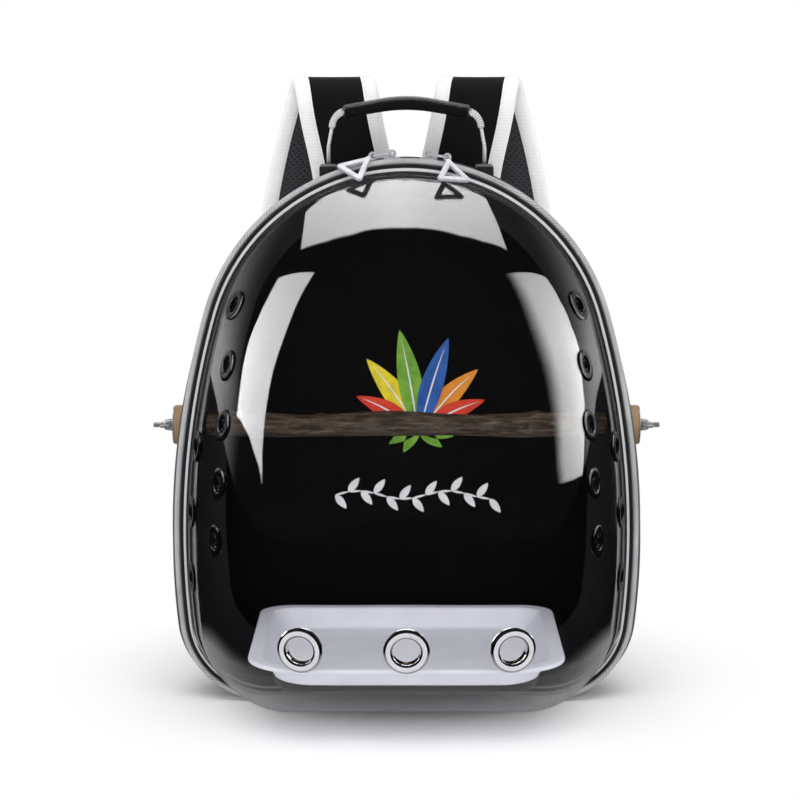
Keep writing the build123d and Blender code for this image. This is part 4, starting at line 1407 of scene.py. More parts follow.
@dataclass
class Perch(Assembly):
    """The branch across the cabin and the threaded bolts, washers and wing nuts that hold it."""

    finishes: Finishes
    y: float = -10.0
    z: float = 201.0
    half_length: float = 147.0
    radius: float = 9.0
    swell: float = 0.9
    bolt_radius: float = 2.0
    bolt_tip: float = 187.0
    steel_face: float = 171.85
    knots: tuple[tuple[float, float], ...] = (
        (-64.0, 60.0), (28.0, 200.0), (96.0, 100.0), (-118.0, 150.0), (58.0, 20.0)
    )

    def build(self) -> None:
        """Builds the branch, its bolts, washers and wing nuts."""
        get = self.finishes.get
        self.settle(self.branch(get("bark")), Body.CARRIER, "perch_wood", ["perch"])
        draft = Draft()
        for side in (-1, 1):
            self.thread(draft, side)
        self.settle(draft.build("bolts", [get("zinc")], 70), Body.CARRIER, "steel", ["perch_bolts"])
        draft = Draft()
        for side in (-1, 1):
            face = side * (self.steel_face - 1.4)
            ring = (
                (2.3, 0.15), (2.5, 0.0), (13.6, 0.0), (14.0, 0.35), (14.0, 1.05), (13.6, 1.4), (2.5, 1.4),
                (2.3, 1.25)
            )
            lathe(draft, ring, np.array([face, self.y, self.z]), np.array([side, 0, 0]), 64)
        self.settle(draft.build("washers", [get("zinc")], 50), Body.CARRIER, "steel", ["steel_washers"])
        for hand, side in SIDES.items():
            nut = self.wing_nut(f"wing_nut_{hand}_cast", side)
            self.settle(nut, f"wing_nut_{hand}", "steel", [f"wing_nut_{hand}"])

    def branch(self, bark: Material) -> Piece:
        """Makes the branch, uneven along and round, with knots.

        Args:
            bark: The bark's finish.

        Returns:
            The branch.
        """
        x = np.linspace(-self.half_length, self.half_length, 360)
        turn = np.linspace(0, 2 * math.pi, 60, endpoint=False)
        step = (x / self.half_length + 1) / 2 * 10
        middle = np.stack([self.swell * np.sin(2.1 * step), self.swell * np.cos(1.3 * step)], axis=1)
        thick = self.radius - 0.35 + self.swell * 0.8 * np.sin(1.7 * step)
        rng = np.random.default_rng(11)
        lumps = np.zeros((len(x), len(turn)))
        for _ in range(46):
            place, angle = rng.uniform(-self.half_length, self.half_length), rng.uniform(0, 2 * math.pi)
            length, width, rise = rng.uniform(5, 30), rng.uniform(0.12, 0.4), rng.uniform(-0.55, 0.5)
            apart = np.angle(np.exp(1j * (turn - angle)))
            lumps += rise * np.exp(
                -(((x - place) / length) ** 2)
            )[:, None] * np.exp(-((apart / width) ** 2))[None]
        for place, degrees in self.knots:
            apart = np.angle(np.exp(1j * (turn - math.radians(degrees))))
            away = np.hypot((x - place)[:, None], apart[None] * self.radius)
            lumps += 2.0 * np.exp(-((away / 4.2) ** 2)) - 1.1 * np.exp(-((away / 1.6) ** 2))
        reach = np.minimum(thick[:, None] + lumps, 11.0)
        ends = np.clip((self.half_length - np.abs(x)) / 1.2, 0, 1)
        reach = reach * (0.9 + 0.1 * np.sqrt(ends))[:, None]
        net = np.stack(
            [
                np.broadcast_to(x[:, None], reach.shape), self.y + middle[:, :1] + reach * np.cos(turn)[None],
                self.z + middle[:, 1:] + reach * np.sin(turn)[None]
            ],
            axis=2
        )
        draft = Draft()
        draft.closed(net)
        return draft.build("branch", [bark], 60)

    def thread(self, draft: Draft, side: int) -> None:
        """Adds a threaded rod from inside the branch to past the wing nut.

        Args:
            draft: The draft to add to.
            side: -1 for the left, 1 for the right.
        """
        x = np.arange(self.half_length - 12, self.bolt_tip, 0.2)
        turn = np.linspace(0, 2 * math.pi, 16, endpoint=False)
        wave = np.abs(((x[:, None] / 0.8 + turn[None] / (2 * math.pi)) % 1) * 2 - 1)
        reach = self.bolt_radius - 0.36 * wave
        reach *= np.clip((self.bolt_tip - x) / 0.9 + 0.55, 0, 1)[:, None]
        net = np.stack(
            [
                side * np.broadcast_to(x[:, None], reach.shape), self.y + reach * np.cos(turn)[None],
                self.z + reach * np.sin(turn)[None]
            ],
            axis=2
        )
        draft.grid(net, wrap_columns=True)
        draft.fan(net[0])
        draft.fan(net[-1], flip=True)

    def wing_nut(self, name: str, side: int) -> Piece:
        """Makes a cast wing nut: a tapered hub and two ears that lean outwards.

        Args:
            name: The piece's name.
            side: -1 for the left, 1 for the right.

        Returns:
            The wing nut.
        """
        face = side * (self.steel_face + 0.3)
        draft = Draft()
        hub = (
            (2.06, 0.2), (2.3, 0.0), (4.4, 0.0), (4.6, 0.4), (4.1, 4.0), (3.6, 6.1), (3.2, 6.5), (2.4, 6.5),
            (2.06, 6.2)
        )
        lathe(draft, hub, np.array([face, self.y, self.z]), np.array([side, 0, 0]), 40)
        for way in (-1, 1):
            spine = smooth_line(
                [(3.6, 0, 2.9), (4.9, 0, 5.6), (7.4, 0, 8.6), (8.6, 0, 10.9)], 14, ends_upright=False
            )
            rows = []
            for k, (out, _, rise) in enumerate(spine):
                t = k / 13
                wide = 2.2 + 1.5 * math.sin(math.pi * min(1.0, t * 1.05)) * (1 - 0.25 * t)
                wide *= math.sqrt(max(0.02, 1 - max(0.0, (t - 0.72) / 0.28) ** 2))
                thick = 1.1 - 0.3 * t
                ring = rounded_box(2 * wide, 2 * thick, thick * 0.8, 3)
                rows.append(
                    [
                        (
                            face + side * (out - 0.4 + a * 0.8), self.y + way * (rise + a * -0.35), self.z + b
                        ) for a,
                        b in ring
                    ]
                )
            net = np.array(rows)
            draft.grid(net, wrap_columns=True)
            draft.fan(net[0])
            draft.fan(net[-1])
        return draft.build(name, [self.finishes.get("zinc")], 45)


@dataclass
class Tray(Assembly):
    """The white tray: a well with sloping walls and a flat rim with a turned-down lip."""

    finishes: Finishes
    half_width: float = 111.0
    front: float = -131.0
    back: float = 74.0
    corner: float = 24.0
    front_corner: float = 44.0
    base: float = 40.4

    def ring(self, inset: float, height: float) -> np.ndarray:
        """Returns the tray's outline, inset from the rim, at a height.

        Args:
            inset: The distance in from the rim's edge.
            height: The height in millimetres.

        Returns:
            The points, one row each.
        """
        half = self.half_width - inset
        low, high = FLANGE_Y + self.front + inset, FLANGE_Y + self.back - inset
        front, back = self.front_corner - inset * 0.7, self.corner - inset * 0.7
        points = []
        for k, (x, y, radius) in enumerate(
            ((half, high, back), (-half, high, back), (-half, low, front), (half, low, front))
        ):
            cx, cy = x - math.copysign(radius, x), y + (radius if k >= 2 else -radius)
            for t in range(13):
                angle = math.pi / 2 * (k + t / 12)
                points.append((cx + radius * math.cos(angle), cy + radius * math.sin(angle), height))
        return np.array(points)

    def build(self) -> None:
        """Builds the tray."""
        b = self.base
        profile = (
            (26.0, 1.8), (22.6, 1.9), (20.4, 2.5), (19.2, 3.9), (18.4, 5.6), (14.6, 10.2), (11.6, 13.9),
            (10.7, 15.2), (9.7, 15.85), (8.4, 16.0), (1.6, 16.0), (0.6, 15.8), (0.1, 15.2), (0.0, 14.3),
            (0.25, 13.3), (1.0, 13.1), (1.6, 13.6), (2.2, 14.2), (9.4, 14.2), (10.6, 13.5), (13.4, 9.6),
            (16.9, 3.2), (18.2, 1.0), (19.6, 0.2), (22.0, 0.0)
        )
        net = np.array([self.ring(inset, b + rise) for inset, rise in profile])
        draft = Draft()
        draft.grid(net, wrap_columns=True, flip=True)
        draft.fan(net[0])
        draft.fan(net[-1], flip=True)
        self.settle(
            draft.build("tray_moulding", [self.finishes.get("tray")], 50), Body.TRAY, "tray_plastic", ["tray"]
        )


def clothe(piece: Piece, material: Material) -> None:
    """Gives a piece one finish in place of those it has."""
    piece.data.materials.clear()
    piece.data.materials.append(material)


def puffed(piece: Piece, voxel: float, cap: float) -> None:
    """Swells a closed form into a stuffed pad by cloth simulation.

    Args:
        piece: The pad's starting form, a little smaller than the pad.
        voxel: The spacing of its remeshed points, in millimetres.
        cap: How far a point may move, in millimetres.
    """
    remesh = piece.modifiers.new("remesh", "REMESH")
    remesh.mode = "VOXEL"
    remesh.voxel_size = voxel * MM
    mesh = applied(piece)
    start = np.empty(len(mesh.vertices) * 3)
    mesh.vertices.foreach_get("co", start)
    start = start.reshape(-1, 3)
    cloth = piece.modifiers.new("cloth", "CLOTH")
    cloth.settings.use_pressure = True
    cloth.settings.uniform_pressure_force = 4.0
    cloth.settings.effector_weights.gravity = 0.0
    cloth.settings.quality = 5
    cloth.point_cache.frame_end = PUFF_FRAMES
    for frame in range(1, PUFF_FRAMES + 1):
        bpy.context.scene.frame_set(frame)
    graph = bpy.context.evaluated_depsgraph_get()
    swollen = np.empty(len(mesh.vertices) * 3)
    piece.evaluated_get(graph).data.vertices.foreach_get("co", swollen)
    swollen = swollen.reshape(-1, 3)
    piece.modifiers.clear()
    bpy.context.scene.frame_set(1)
    moved = swollen - start
    far = np.linalg.norm(moved, axis=1)
    moved *= (np.minimum(far, cap * MM) / np.maximum(far, 1e-9))[:, None]
    mesh.vertices.foreach_set("co", (start + moved).ravel())
    mesh.update()
    even = piece.modifiers.new("even", "SMOOTH")
    even.factor, even.iterations = 0.5, 7
    applied(piece)


def shaped(piece: Piece, law: Callable[[np.ndarray], np.ndarray]) -> None:
    """Subdivides a pad and moves its points by a law, both applied.

    Args:
        piece: The pad.
        law: Takes the points in millimetres and returns them moved.
    """
    smooth = piece.modifiers.new("smooth", "SUBSURF")
    smooth.levels = smooth.render_levels = 1
    mesh = applied(piece)
    points = np.empty(len(mesh.vertices) * 3)
    mesh.vertices.foreach_get("co", points)
    mesh.vertices.foreach_set("co", (law(points.reshape(-1, 3) * 1000) * MM).ravel())
    mesh.update()
    mesh.shade_smooth()


def softened(node: Piece, name: str, material: Material, voxel: float) -> Piece:
    """Makes a soft-edged copy of a node, as sewn cloth or webbing has.

    Args:
        node: The node to copy.
        name: The new piece's name.
        material: Its finish.
        voxel: The spacing of its remeshed points, in millimetres.

    Returns:
        The new piece.
    """
    mesh = node.data.copy()
    mesh.transform(node.matrix_world)
    tidy_mesh(mesh)
    piece = add_object(name, mesh)
    remesh = piece.modifiers.new("remesh", "REMESH")
    remesh.mode = "VOXEL"
    remesh.voxel_size = voxel * MM
    relax = piece.modifiers.new("relax", "SMOOTH")
    relax.factor, relax.iterations = 0.5, 6
    applied(piece).shade_smooth()
    clothe(piece, material)
    return piece


@dataclass
class SoftBody(Assembly):
    """The padded body: its gusset, back panel, back pads and floor mat; the panel's print is made apart."""

    finishes: Finishes
    wall: float = 4.5
    lap: float = 6.2
    front: float = 9.75
    panel_front: float = 86.0
    panel_thickness: float = 5.0
    belly: Arch = Arch(174.0, 397.8, -1.2, 57.0, 70.0, 26.5)
    back: Arch = Arch(142.0, 368.0, 22.0, 50.0)
    seams: tuple[float, ...] = (24.0, 74.0)

    def sections(self) -> list[tuple[float, Arch]]:
        """Returns the gusset's outline at each depth behind the flange."""
        start = ZIP.grown(6.0)
        turn = Arch(160.0, 386.8, 8.0, 57.0, 70.0, 26.5)
        return [
            (self.front, start), (self.front + self.lap, start), (36.0, self.belly),
            (60.0, self.belly.grown(-1.4)), (76.0, turn), (86.0, self.back)
        ]

    def outline(self, depth: float) -> Arch:
        """Returns the gusset's outline at any depth, on a smooth curve through its sections."""
        sections = self.sections()
        if depth <= sections[1][0]:
            return sections[1][1]
        knots = [d for d, _ in sections[1:]]
        table = [(a.half_width, a.top, a.bottom, a.corner, a.shoulder, a.flank) for _, a in sections[1:]]
        values = []
        for column in zip(*table):
            slope = np.gradient(column, knots)
            slope[0] = (column[1] - column[0]) / (knots[1] - knots[0])
            k = min(max(int(np.searchsorted(knots, depth)) - 1, 0), len(knots) - 2)
            gap = knots[k + 1] - knots[k]
            t = (depth - knots[k]) / gap
            values.append(
                (2 * t**3 - 3 * t**2 + 1) * column[k] + (t**3 - 2 * t**2 + t) * gap * slope[k]
                + (-2 * t**3 + 3 * t**2) * column[k + 1] + (t**3 - t**2) * gap * slope[k + 1]
            )
        return Arch(*values)

    def net(self, inset: float, depths: np.ndarray) -> np.ndarray:
        """Samples the gusset's surface, with a soft dent at each seam and slack between.

        Args:
            inset: The distance inside the outer surface.
            depths: The depths to sample.

        Returns:
            The points, as depths by outline by 3.
        """
        rows = []
        for depth in depths:
            points, normals = self.outline(float(depth)).grown(-inset).loop(1.4)
            run = np.linspace(0, 2 * math.pi, len(points), endpoint=False)
            if inset == 0.0:
                dent = sum(math.exp(-(((depth - seam) / 1.1) ** 2)) for seam in self.seams)
                slack = 0.5 * np.sin(7 * run + depth * 0.09) * np.sin(3 * run) * min(
                    1.0, max(0.0, (depth - 18) / 12)
                )
                slack = slack * min(1.0, max(0.0, (84 - depth) / 10))
                points = points + normals * (-1.0 * dent + slack - 0.5)[:, None]
            flat = stood(points, FLANGE_Y + depth)
            flat[:, 2] = np.maximum(flat[:, 2], 0.0 if inset == 0.0 else 4.6)
            rows.append(flat)
        return np.array(rows)

    def build(self) -> None:
        """Builds the gusset, its stitches, the panel, the pads and the mat."""
        get = self.finishes.get
        outer = self.net(0.0, np.concatenate([np.linspace(self.front, 20, 10), np.linspace(21, 85.4, 64)]))
        inner = self.net(self.wall, np.linspace(85.6, self.front + 0.2, 24))
        draft = Draft()
        draft.grid(np.concatenate([outer, inner]), wrap_rows=True, wrap_columns=True)
        gusset = draft.build("body_cloth", [get("oxford")], 60)
        self.settle(gusset, Body.CARRIER, "black_fabric", ["gusset"])
        rows = []
        for seam in self.seams:
            for beside in (-2.2, 2.2):
                points, normals = self.outline(seam + beside).grown(-0.35).loop()
                path = stood(points, FLANGE_Y + seam + beside)
                keep = path[:, 2] > 8
                start = int(np.argmax(~keep))
                order = (np.arange(len(path)) + start) % len(path)
                order = [i for i in order if keep[i]]
                out = stood(normals, 0.0)
                rows.append((path[order], out[order]))
        stitches = Row(4.2, 3.0, 0.6, 0.55).along("body_stitches", rows, get("thread_black"))
        self.settle(stitches, Body.CARRIER, "black_fabric")
        self.settle(self.panel(get("lining")), Body.CARRIER, "panel_fabric", ["back_panel"])
        self.pads(get("pad_mesh"))
        self.mat(get("oxford"))

    def panel(self, lining: Material) -> Piece:
        """Makes the cloth-covered back panel, its edges drawn in and its faces barely crowned.

        Args:
            lining: The lining's finish.

        Returns:
            The panel.
        """
        points = self.back.grown(-1.0).loop()[0]
        middle = np.array([0.0, 190.0])
        scales = (0.04, 0.2, 0.36, 0.52, 0.66, 0.78, 0.87, 0.93, 0.965, 0.985, 0.996, 1.0)
        rows = []
        for face, sign in ((self.panel_front, -1), (self.panel_front + self.panel_thickness, 1)):
            side = []
            for s in scales:
                flat = middle + (points - middle) * s
                drawn = max(0.0, (s - 0.965) / 0.035) ** 2 * 1.6
                ripple = 0.18 * np.sin(flat[:, 0] * 0.05 + flat[:, 1] * 0.031) * (1 - s)
                y = FLANGE_Y + face - sign * drawn + ripple * sign
                side.append(stood(flat, y))
            rows.append(side)
        net = np.array(rows[0] + rows[1][::-1])
        draft = Draft()
        draft.closed(net)
        return draft.build("lined_panel", [lining], 60)

    def pads(self, mesh_cloth: Material) -> None:
        """Makes the two mesh pads against the wearer's back, with sewn channels.

        Args:
            mesh_cloth: The spacer mesh's finish.
        """
        outline = replace(self.back.grown(-16.5), top=341.5, bottom=73.5)
        points = outline.loop(1.0)[0]
        for hand, side in SIDES.items():
            half = points[points[:, 0] * side > 10.5]
            angle = np.arctan2(half[:, 1] - 200, half[:, 0] - side * 60)
            half = half[np.argsort(angle)]
            ring = stood(half, 0.0)
            net = np.array([ring + [0, FLANGE_Y + 92.6, 0], ring + [0, FLANGE_Y + 96.4, 0]])
            draft = Draft()
            draft.closed(net)
            pad = draft.build(f"back_pad_{hand}", [mesh_cloth], 60)
            puffed(pad, 4.0, 5.0)

            def sewn(p: np.ndarray) -> np.ndarray:
                """Draws the pad in along its channels and flat against the panel."""
                channel = sum(np.exp(-(((p[:, 2] - z) / 4.0) ** 2)) for z in (128.0, 182.0, 236.0, 290.0))
                back = p[:, 1] > FLANGE_Y + 94.5
                p[:, 1] -= np.where(back, 3.2 * np.minimum(channel, 1), 0)
                p[:, 1] = np.clip(p[:, 1], FLANGE_Y + 91.1, FLANGE_Y + 101.5)
                return p

            shaped(pad, sewn)
            clothe(pad, mesh_cloth)
            self.settle(pad, Body.CARRIER, "mesh_fabric", ["back_pad"])

    def mat(self, cloth: Material) -> None:
        """Makes the stuffed mat that the tray stands on.

        Args:
            cloth: The cover's finish.
        """
        ring = rounded_box(204.0, 134.0, 24.0, 8) + [0.0, FLANGE_Y + 3.0]
        rows = []
        for inset, height in ((2.5, 20.0), (0.0, 22.5), (0.0, 36.0), (2.5, 38.2)):
            flat = ring * (1 - inset / 100)
            rows.append(np.stack([flat[:, 0], flat[:, 1], np.full(len(flat), height)], axis=1))
        net = np.array(rows)
        draft = Draft()
        draft.closed(net)
        mat = draft.build("floor_cushion", [cloth], 60)
        puffed(mat, 5.0, 5.0)

        def rested(p: np.ndarray) -> np.ndarray:
            """Rests the mat on its board and under the tray."""
            p[:, 2] = np.clip(p[:, 2], 14.9, 40.2)
            front = p[:, 1] < FLANGE_Y + 12
            p[:, 2] = np.where(front, np.maximum(p[:, 2], 20.7), p[:, 2])
            return p

        shaped(mat, rested)
        clothe(mat, cloth)
        self.settle(mat, Body.CARRIER, "mesh_fabric", ["floor_mat"])


@dataclass
class Print(Assembly):
    """A plain printed ornament on the inside of the back: feathers and leaves over a white sprig."""

    finishes: Finishes
    plane: float = FLANGE_Y + 86.0
    film: float = 0.22

    def leaf(
        self, draft: Draft, foot: tuple[float, float], angle: float, length: float, width: float,
        bend: float = 0.0, slot: int = 0, layer: int = 0
    ) -> None:
        """Adds a pointed leaf or feather blade as a thin closed film.

        Args:
            draft: The draft to add to.
            foot: The blade's foot, as x and z.
            angle: The direction it grows in, in degrees from +X.
            length: Its length.
            width: Its greatest width.
            bend: How far its tip leans to the left, in millimetres.
            slot: The finish of its faces.
            layer: How many films lie under it.
        """
        t = np.linspace(0, 1, 22)
        half = width / 2 * np.sin(math.pi * t**0.82) ** 0.8
        spine = np.stack([t * length, bend * t**2], axis=1)
        turn = math.radians(angle)
        spin = np.array([[math.cos(turn), -math.sin(turn)], [math.sin(turn), math.cos(turn)]])
        left = (spine + np.stack([np.zeros(22), half], axis=1)) @ spin.T + foot
        right = (spine - np.stack([np.zeros(22), half], axis=1)) @ spin.T + foot
        front = self.plane - 0.3 - self.film * (layer + 1)
        rows = [
            stood(flat, y) for flat,
            y in (
                (left, front), (right, front), (right, front + self.film * 0.8), (left, front + self.film * 0.8)
            )
        ]
        draft.grid(np.array(rows), wrap_rows=True, slots=slot)

    def build(self) -> None:
        """Builds the ornament."""
        get = self.finishes.get
        draft = Draft()
        names = ("ink_green", "ink_yellow", "ink_blue", "ink_red", "ink_orange", "ink_white")
        plume = (
            (6.0, 192.0, 118, 62, 17, 8, 1), (8.0, 192.0, 98, 74, 18, 3, 0), (11.0, 192.0, 77, 70, 17, -5, 2),
            (14.0, 192.0, 56, 58, 16, -9, 4), (17.0, 192.0, 36, 46, 14, -9, 3), (3.0, 192.0, 140, 46, 14, 9, 3)
        )
        for k, (x, z, angle, length, width, bend, slot) in enumerate(plume):
            self.leaf(draft, (x, z), angle, length, width, bend, slot, k % 3)
            self.leaf(draft, (x, z), angle, length * 0.9, 1.2, bend * 0.82, 5, k % 3 + 1)
        for angle, length, slot in ((200, 26, 0), (228, 22, 0), (312, 22, 0), (340, 26, 0)):
            self.leaf(draft, (10.0, 190.0), angle, length, 8.5, 3, slot, 3)
        self.settle(draft.build("print_feathers", [get(n) for n in names], 60), Body.CARRIER, "panel_fabric")
        draft = Draft()
        for k in range(13):
            x = -54.0 + 9.8 * k
            z = 139.0 + 3.2 * math.sin(k * 0.9)
            up = 1 if k % 2 else -1
            self.leaf(draft, (x, z), up * 52, 13.5, 5.6, 0, 0, 0)
            if k < 12:
                nx, nz = x + 9.8, 139.0 + 3.2 * math.sin((k + 1) * 0.9)
                self.leaf(
                    draft, (x, z), math.degrees(math.atan2(nz - z, nx - x)), math.hypot(nx - x, nz - z) * 1.06,
                    1.7, 0, 0, 1
                )
        self.settle(draft.build("print_sprig", [get("ink_white")], 60), Body.CARRIER, "panel_fabric")


@dataclass
class Handle(Assembly):
    """The carrying handle: pale webbing, a leatherette grip sewn round it and grey webbing cuffs."""

    finishes: Finishes
    y: float = 0.0
    foot: float = 392.6
    width: float = 25.0
    thickness: float = 2.2
    grip_half: float = 46.0
    grip_width: float = 29.0
    grip_thickness: float = 9.5
    cuff: float = 11.0

    def path(self) -> np.ndarray:
        """Returns the handle's centre line, from foot to foot over the top."""
        f = self.foot
        flat = rounded_path(
            [
                (-57.0, f + 0.2), (-57.0, f + 12.5), (-52.5, f + 37.0), (0.0, f + 46.0), (52.5, f + 37.0),
                (57.0, f + 12.5), (57.0, f + 0.2)
            ],
            [20.0, 11.0, 110.0, 11.0, 20.0], step=1.0
        )
        return stood(flat, self.y)

    def build(self) -> None:
        """Builds the webbing, the cuffs and the grip."""
        get = self.finishes.get
        path = self.path()
        axis = self.foot + 12.5
        narrow = np.sqrt(np.clip(1 - (np.clip(axis - path[:, 2], 0, None) / 12.6) ** 2, 0.02, 1))
        ring = rounded_box(self.width, self.thickness, 0.8, 3)
        section = ring[None] * np.stack([narrow, np.ones(len(path))], axis=1)[:, None]
        draft = Draft()
        tube(draft, path, section, np.array([0, 1.0, 0]))
        self.settle(
            draft.build("handle_strap", [get("handle_webbing")], 60), Body.HANDLE, "grey_webbing",
            ["handle_webbing"]
        )

        run = np.concatenate([[0], np.cumsum(np.linalg.norm(np.diff(path, axis=0), axis=1))])
        draft = Draft()
        low = self.foot + 37.0 - self.cuff
        for side in (-1, 1):
            part = path[(path[:, 0] * side > self.grip_half - 0.5) & (path[:, 2] > low)]
            t = np.linspace(0, 1, len(part))
            round_off = 1 - 0.5 * np.maximum(0, (np.abs(t - 0.5) - 0.44) / 0.06) ** 2
            ring = rounded_box(self.width + 1.2, self.thickness + 2.4, 1.2, 3)
            section = ring[None] * np.stack([0.9 + 0.1 * round_off, round_off], axis=1)[:, None]
            tube(draft, part, section, np.array([0, 1.0, 0]))
        self.settle(
            draft.build("handle_cuff_webbing", [get("grey_webbing")], 60), Body.HANDLE, "grey_webbing",
            ["handle_cuffs"]
        )

        inside = np.abs(path[:, 0]) < self.grip_half
        part = path[inside & (path[:, 2] > self.foot + 30)]
        t = np.linspace(-1, 1, len(part))
        swell = np.sqrt(np.clip(1 - np.maximum(0, (np.abs(t) - 0.965) / 0.035) ** 2 * 0.45, 0, 1))
        waist = 1 + 0.03 * np.cos(t * math.pi)
        ring = rounded_box(self.grip_width - 0.6, self.grip_thickness - 0.4, 4.0, 6)
        section = ring[None] * np.stack([swell, swell * waist], axis=1)[:, None]
        draft = Draft()
        tube(draft, part, section, np.array([0, 1.0, 0]))
        self.settle(
            draft.build("grip_cover", [get("leatherette")], 60), Body.HANDLE, "grip_leather", ["handle_grip"]
        )
        seam = part[6:-6]
        rows = []
        for beside in (-3.0, 3.0):
            line = seam + [0.0, beside, -self.grip_thickness / 2]
            rows.append((line, np.tile([0.0, 0.0, -1.0], (len(line), 1))))
        self.settle(
            Row(3.6, 2.6, 0.55, 0.5).along("grip_stitches", rows, get("thread_black")), Body.HANDLE,
            "grip_leather"
        )


@dataclass
class Straps(Assembly):
    """The padded shoulder straps: black cloth outside, mesh inside and a white binding on each edge."""

    finishes: Finishes
    width: float = 60.0
    outer: float = 3.5
    inner: float = 5.5
    edge: float = 10.5
    growth: float = 0.9
    taper_start: float = 0.84
    taper: float = 0.45
    line: tuple[tuple[float, float, float], ...] = (
        (36.5, 98.6, 350.0), (38.0, 98.5, 368.0), (41.5, 95.8, 390.0), (47.0, 94.6, 415.0), (51.0, 95.0, 437.0),
        (52.8, 98.5, 446.5), (55.0, 107.0, 450.5), (57.2, 115.5, 446.5), (60.0, 119.5, 436.0),
        (67.0, 124.5, 410.0), (75.0, 128.0, 375.0), (84.0, 129.0, 320.0), (91.0, 127.0, 255.0),
        (95.0, 123.0, 195.0), (95.5, 122.0, 153.5)
    )

    def profile(self, half: float) -> tuple[np.ndarray, list[int]]:
        """Returns the strap's cross-section with the finish of each face.

        Args:
            half: Half the strap's width.

        Returns:
            The section's points and the finishes: 0 cloth, 1 binding, 2 mesh.
        """
        o, i, g, e = self.outer, self.inner, self.growth, self.edge
        points = [
            (-half + e, -o), (-half + e, -o - g * 0.55), (-half + e - 0.8, -o - g), (-half + 2.2, -o - g * 0.7),
            (-half - 0.2, -o + 1.0), (-half - g, -o + 3.2), (-half - g, i - 3.6), (-half - 0.1, i - 1.2),
            (-half + 2.2, i + g * 0.4), (-half + e - 0.8, i + g), (-half + e, i + g * 0.55), (-half + e, i),
            (-half * 0.5, i - 0.2), (0.0, i - 0.3), (half * 0.5, i - 0.2)
        ]
        right = [(-x, y) for x, y in points[:12]][::-1]
        ring = points + right + [(half * 0.5, -o + 0.1), (0.0, -o + 0.2), (-half * 0.5, -o + 0.1)]
        slots = [1] * 11 + [2] * 4 + [1] * 11 + [0] * 4
        return np.array(ring), slots

    def build(self) -> None:
        """Builds both straps and their stitching."""
        get = self.finishes.get
        for hand, side in SIDES.items():
            points = [(side * x, FLANGE_Y + y, z) for x, y, z in self.line]
            path = smooth_line(points, 260)
            t = np.linspace(0, 1, len(path))
            half = self.width / 2 * (
                1 - self.taper * np.maximum(0, (t - self.taper_start) / (1 - self.taper_start))
            )
            section = np.array([self.profile(h)[0] for h in half])
            slots = self.profile(30.0)[1]
            tangent = np.gradient(path, axis=0) * [0, 1, 1]
            tangent = tangent / np.linalg.norm(tangent, axis=1)[:, None]
            away = np.stack([np.zeros(len(path)), tangent[:, 2], -tangent[:, 1]], axis=1)
            net = path[:, None] + section[..., :1] * np.array([1.0, 0, 0]) + section[..., 1:] * away[:, None]
            draft = Draft()
            draft.closed(net, slots, 1)
            strap = draft.build(
                f"padded_strap_{hand}", [get("strap_face"), get("white_binding"), get("air_mesh")], 50
            )
            self.settle(strap, Body.CARRIER, "black_fabric", [f"strap_{hand}", f"strap_binding_{hand}"])
            rows = []
            for edge in (-1, 1):
                for offset, out in ((-self.outer - self.growth, -1), (self.inner + self.growth, 1)):
                    across = edge * (half - self.edge + 2.0)
                    line = path + across[:, None] * np.array([1.0, 0, 0]) + offset * away
                    rows.append((line[4:-4], (away * out)[4:-4]))
            stitches = Row(4.0, 2.9, 0.6, 0.5).along(f"strap_stitches_{hand}", rows, get("thread_white"))
            self.settle(stitches, Body.CARRIER, "light_binding")


@dataclass
class Fittings(Assembly):
    """Dresses the nodes whose shape is already right, and softens the sewn ones."""

    finishes: Finishes
    nodes: dict[str, Piece]

    def build(self) -> None:
        """Gives each remaining node its finish."""
        get = self.finishes.get
        finishes = {
            "back_piping": "back_piping", "floor_board": "board", "front_zip_tape": "zip_tape",
            "rear_zip_tape": "zip_tape", "ladder_lock_left": "black_plastic",
            "ladder_lock_right": "black_plastic", "perch_spacers": "rubber", "seat_washers": "fibre",
            "pull_link_left": "nickel", "pull_link_right": "nickel", "pull_tab_left": "nickel",
            "pull_tab_right": "nickel", "slider_left": "nickel", "slider_right": "nickel"
        }
        for name, finish in finishes.items():
            node = self.nodes[name]
            if not node.material_slots:
                node.data.materials.append(get(finish))
            for place in node.material_slots:
                place.material = get(finish)
        soft = {
            "strap_yoke": ("oxford", "black_fabric", 1.4),
            "hinge_strip": ("black_webbing", "black_fabric", 0.45),
            "handle_tabs": ("black_webbing", "black_webbing", 0.8),
            "anchor_tab_left": ("black_webbing", "black_webbing", 1.0),
            "anchor_tab_right": ("black_webbing", "black_webbing", 1.0),
            "lower_webbing_left": ("black_webbing", "black_webbing", 0.6),
            "lower_webbing_right": ("black_webbing", "black_webbing", 0.6),
            "lock_loop_left": ("black_webbing", "black_webbing", 0.6),
            "lock_loop_right": ("black_webbing", "black_webbing", 0.6)
        }
        for name, (finish, slot, voxel) in soft.items():
            piece = softened(self.nodes[name], f"{name}_sewn", get(finish), voxel)
            self.settle(piece, Body.CARRIER, slot, [name])


# ------------------------------------------------------------------ studio


Spot = tuple[float, float]


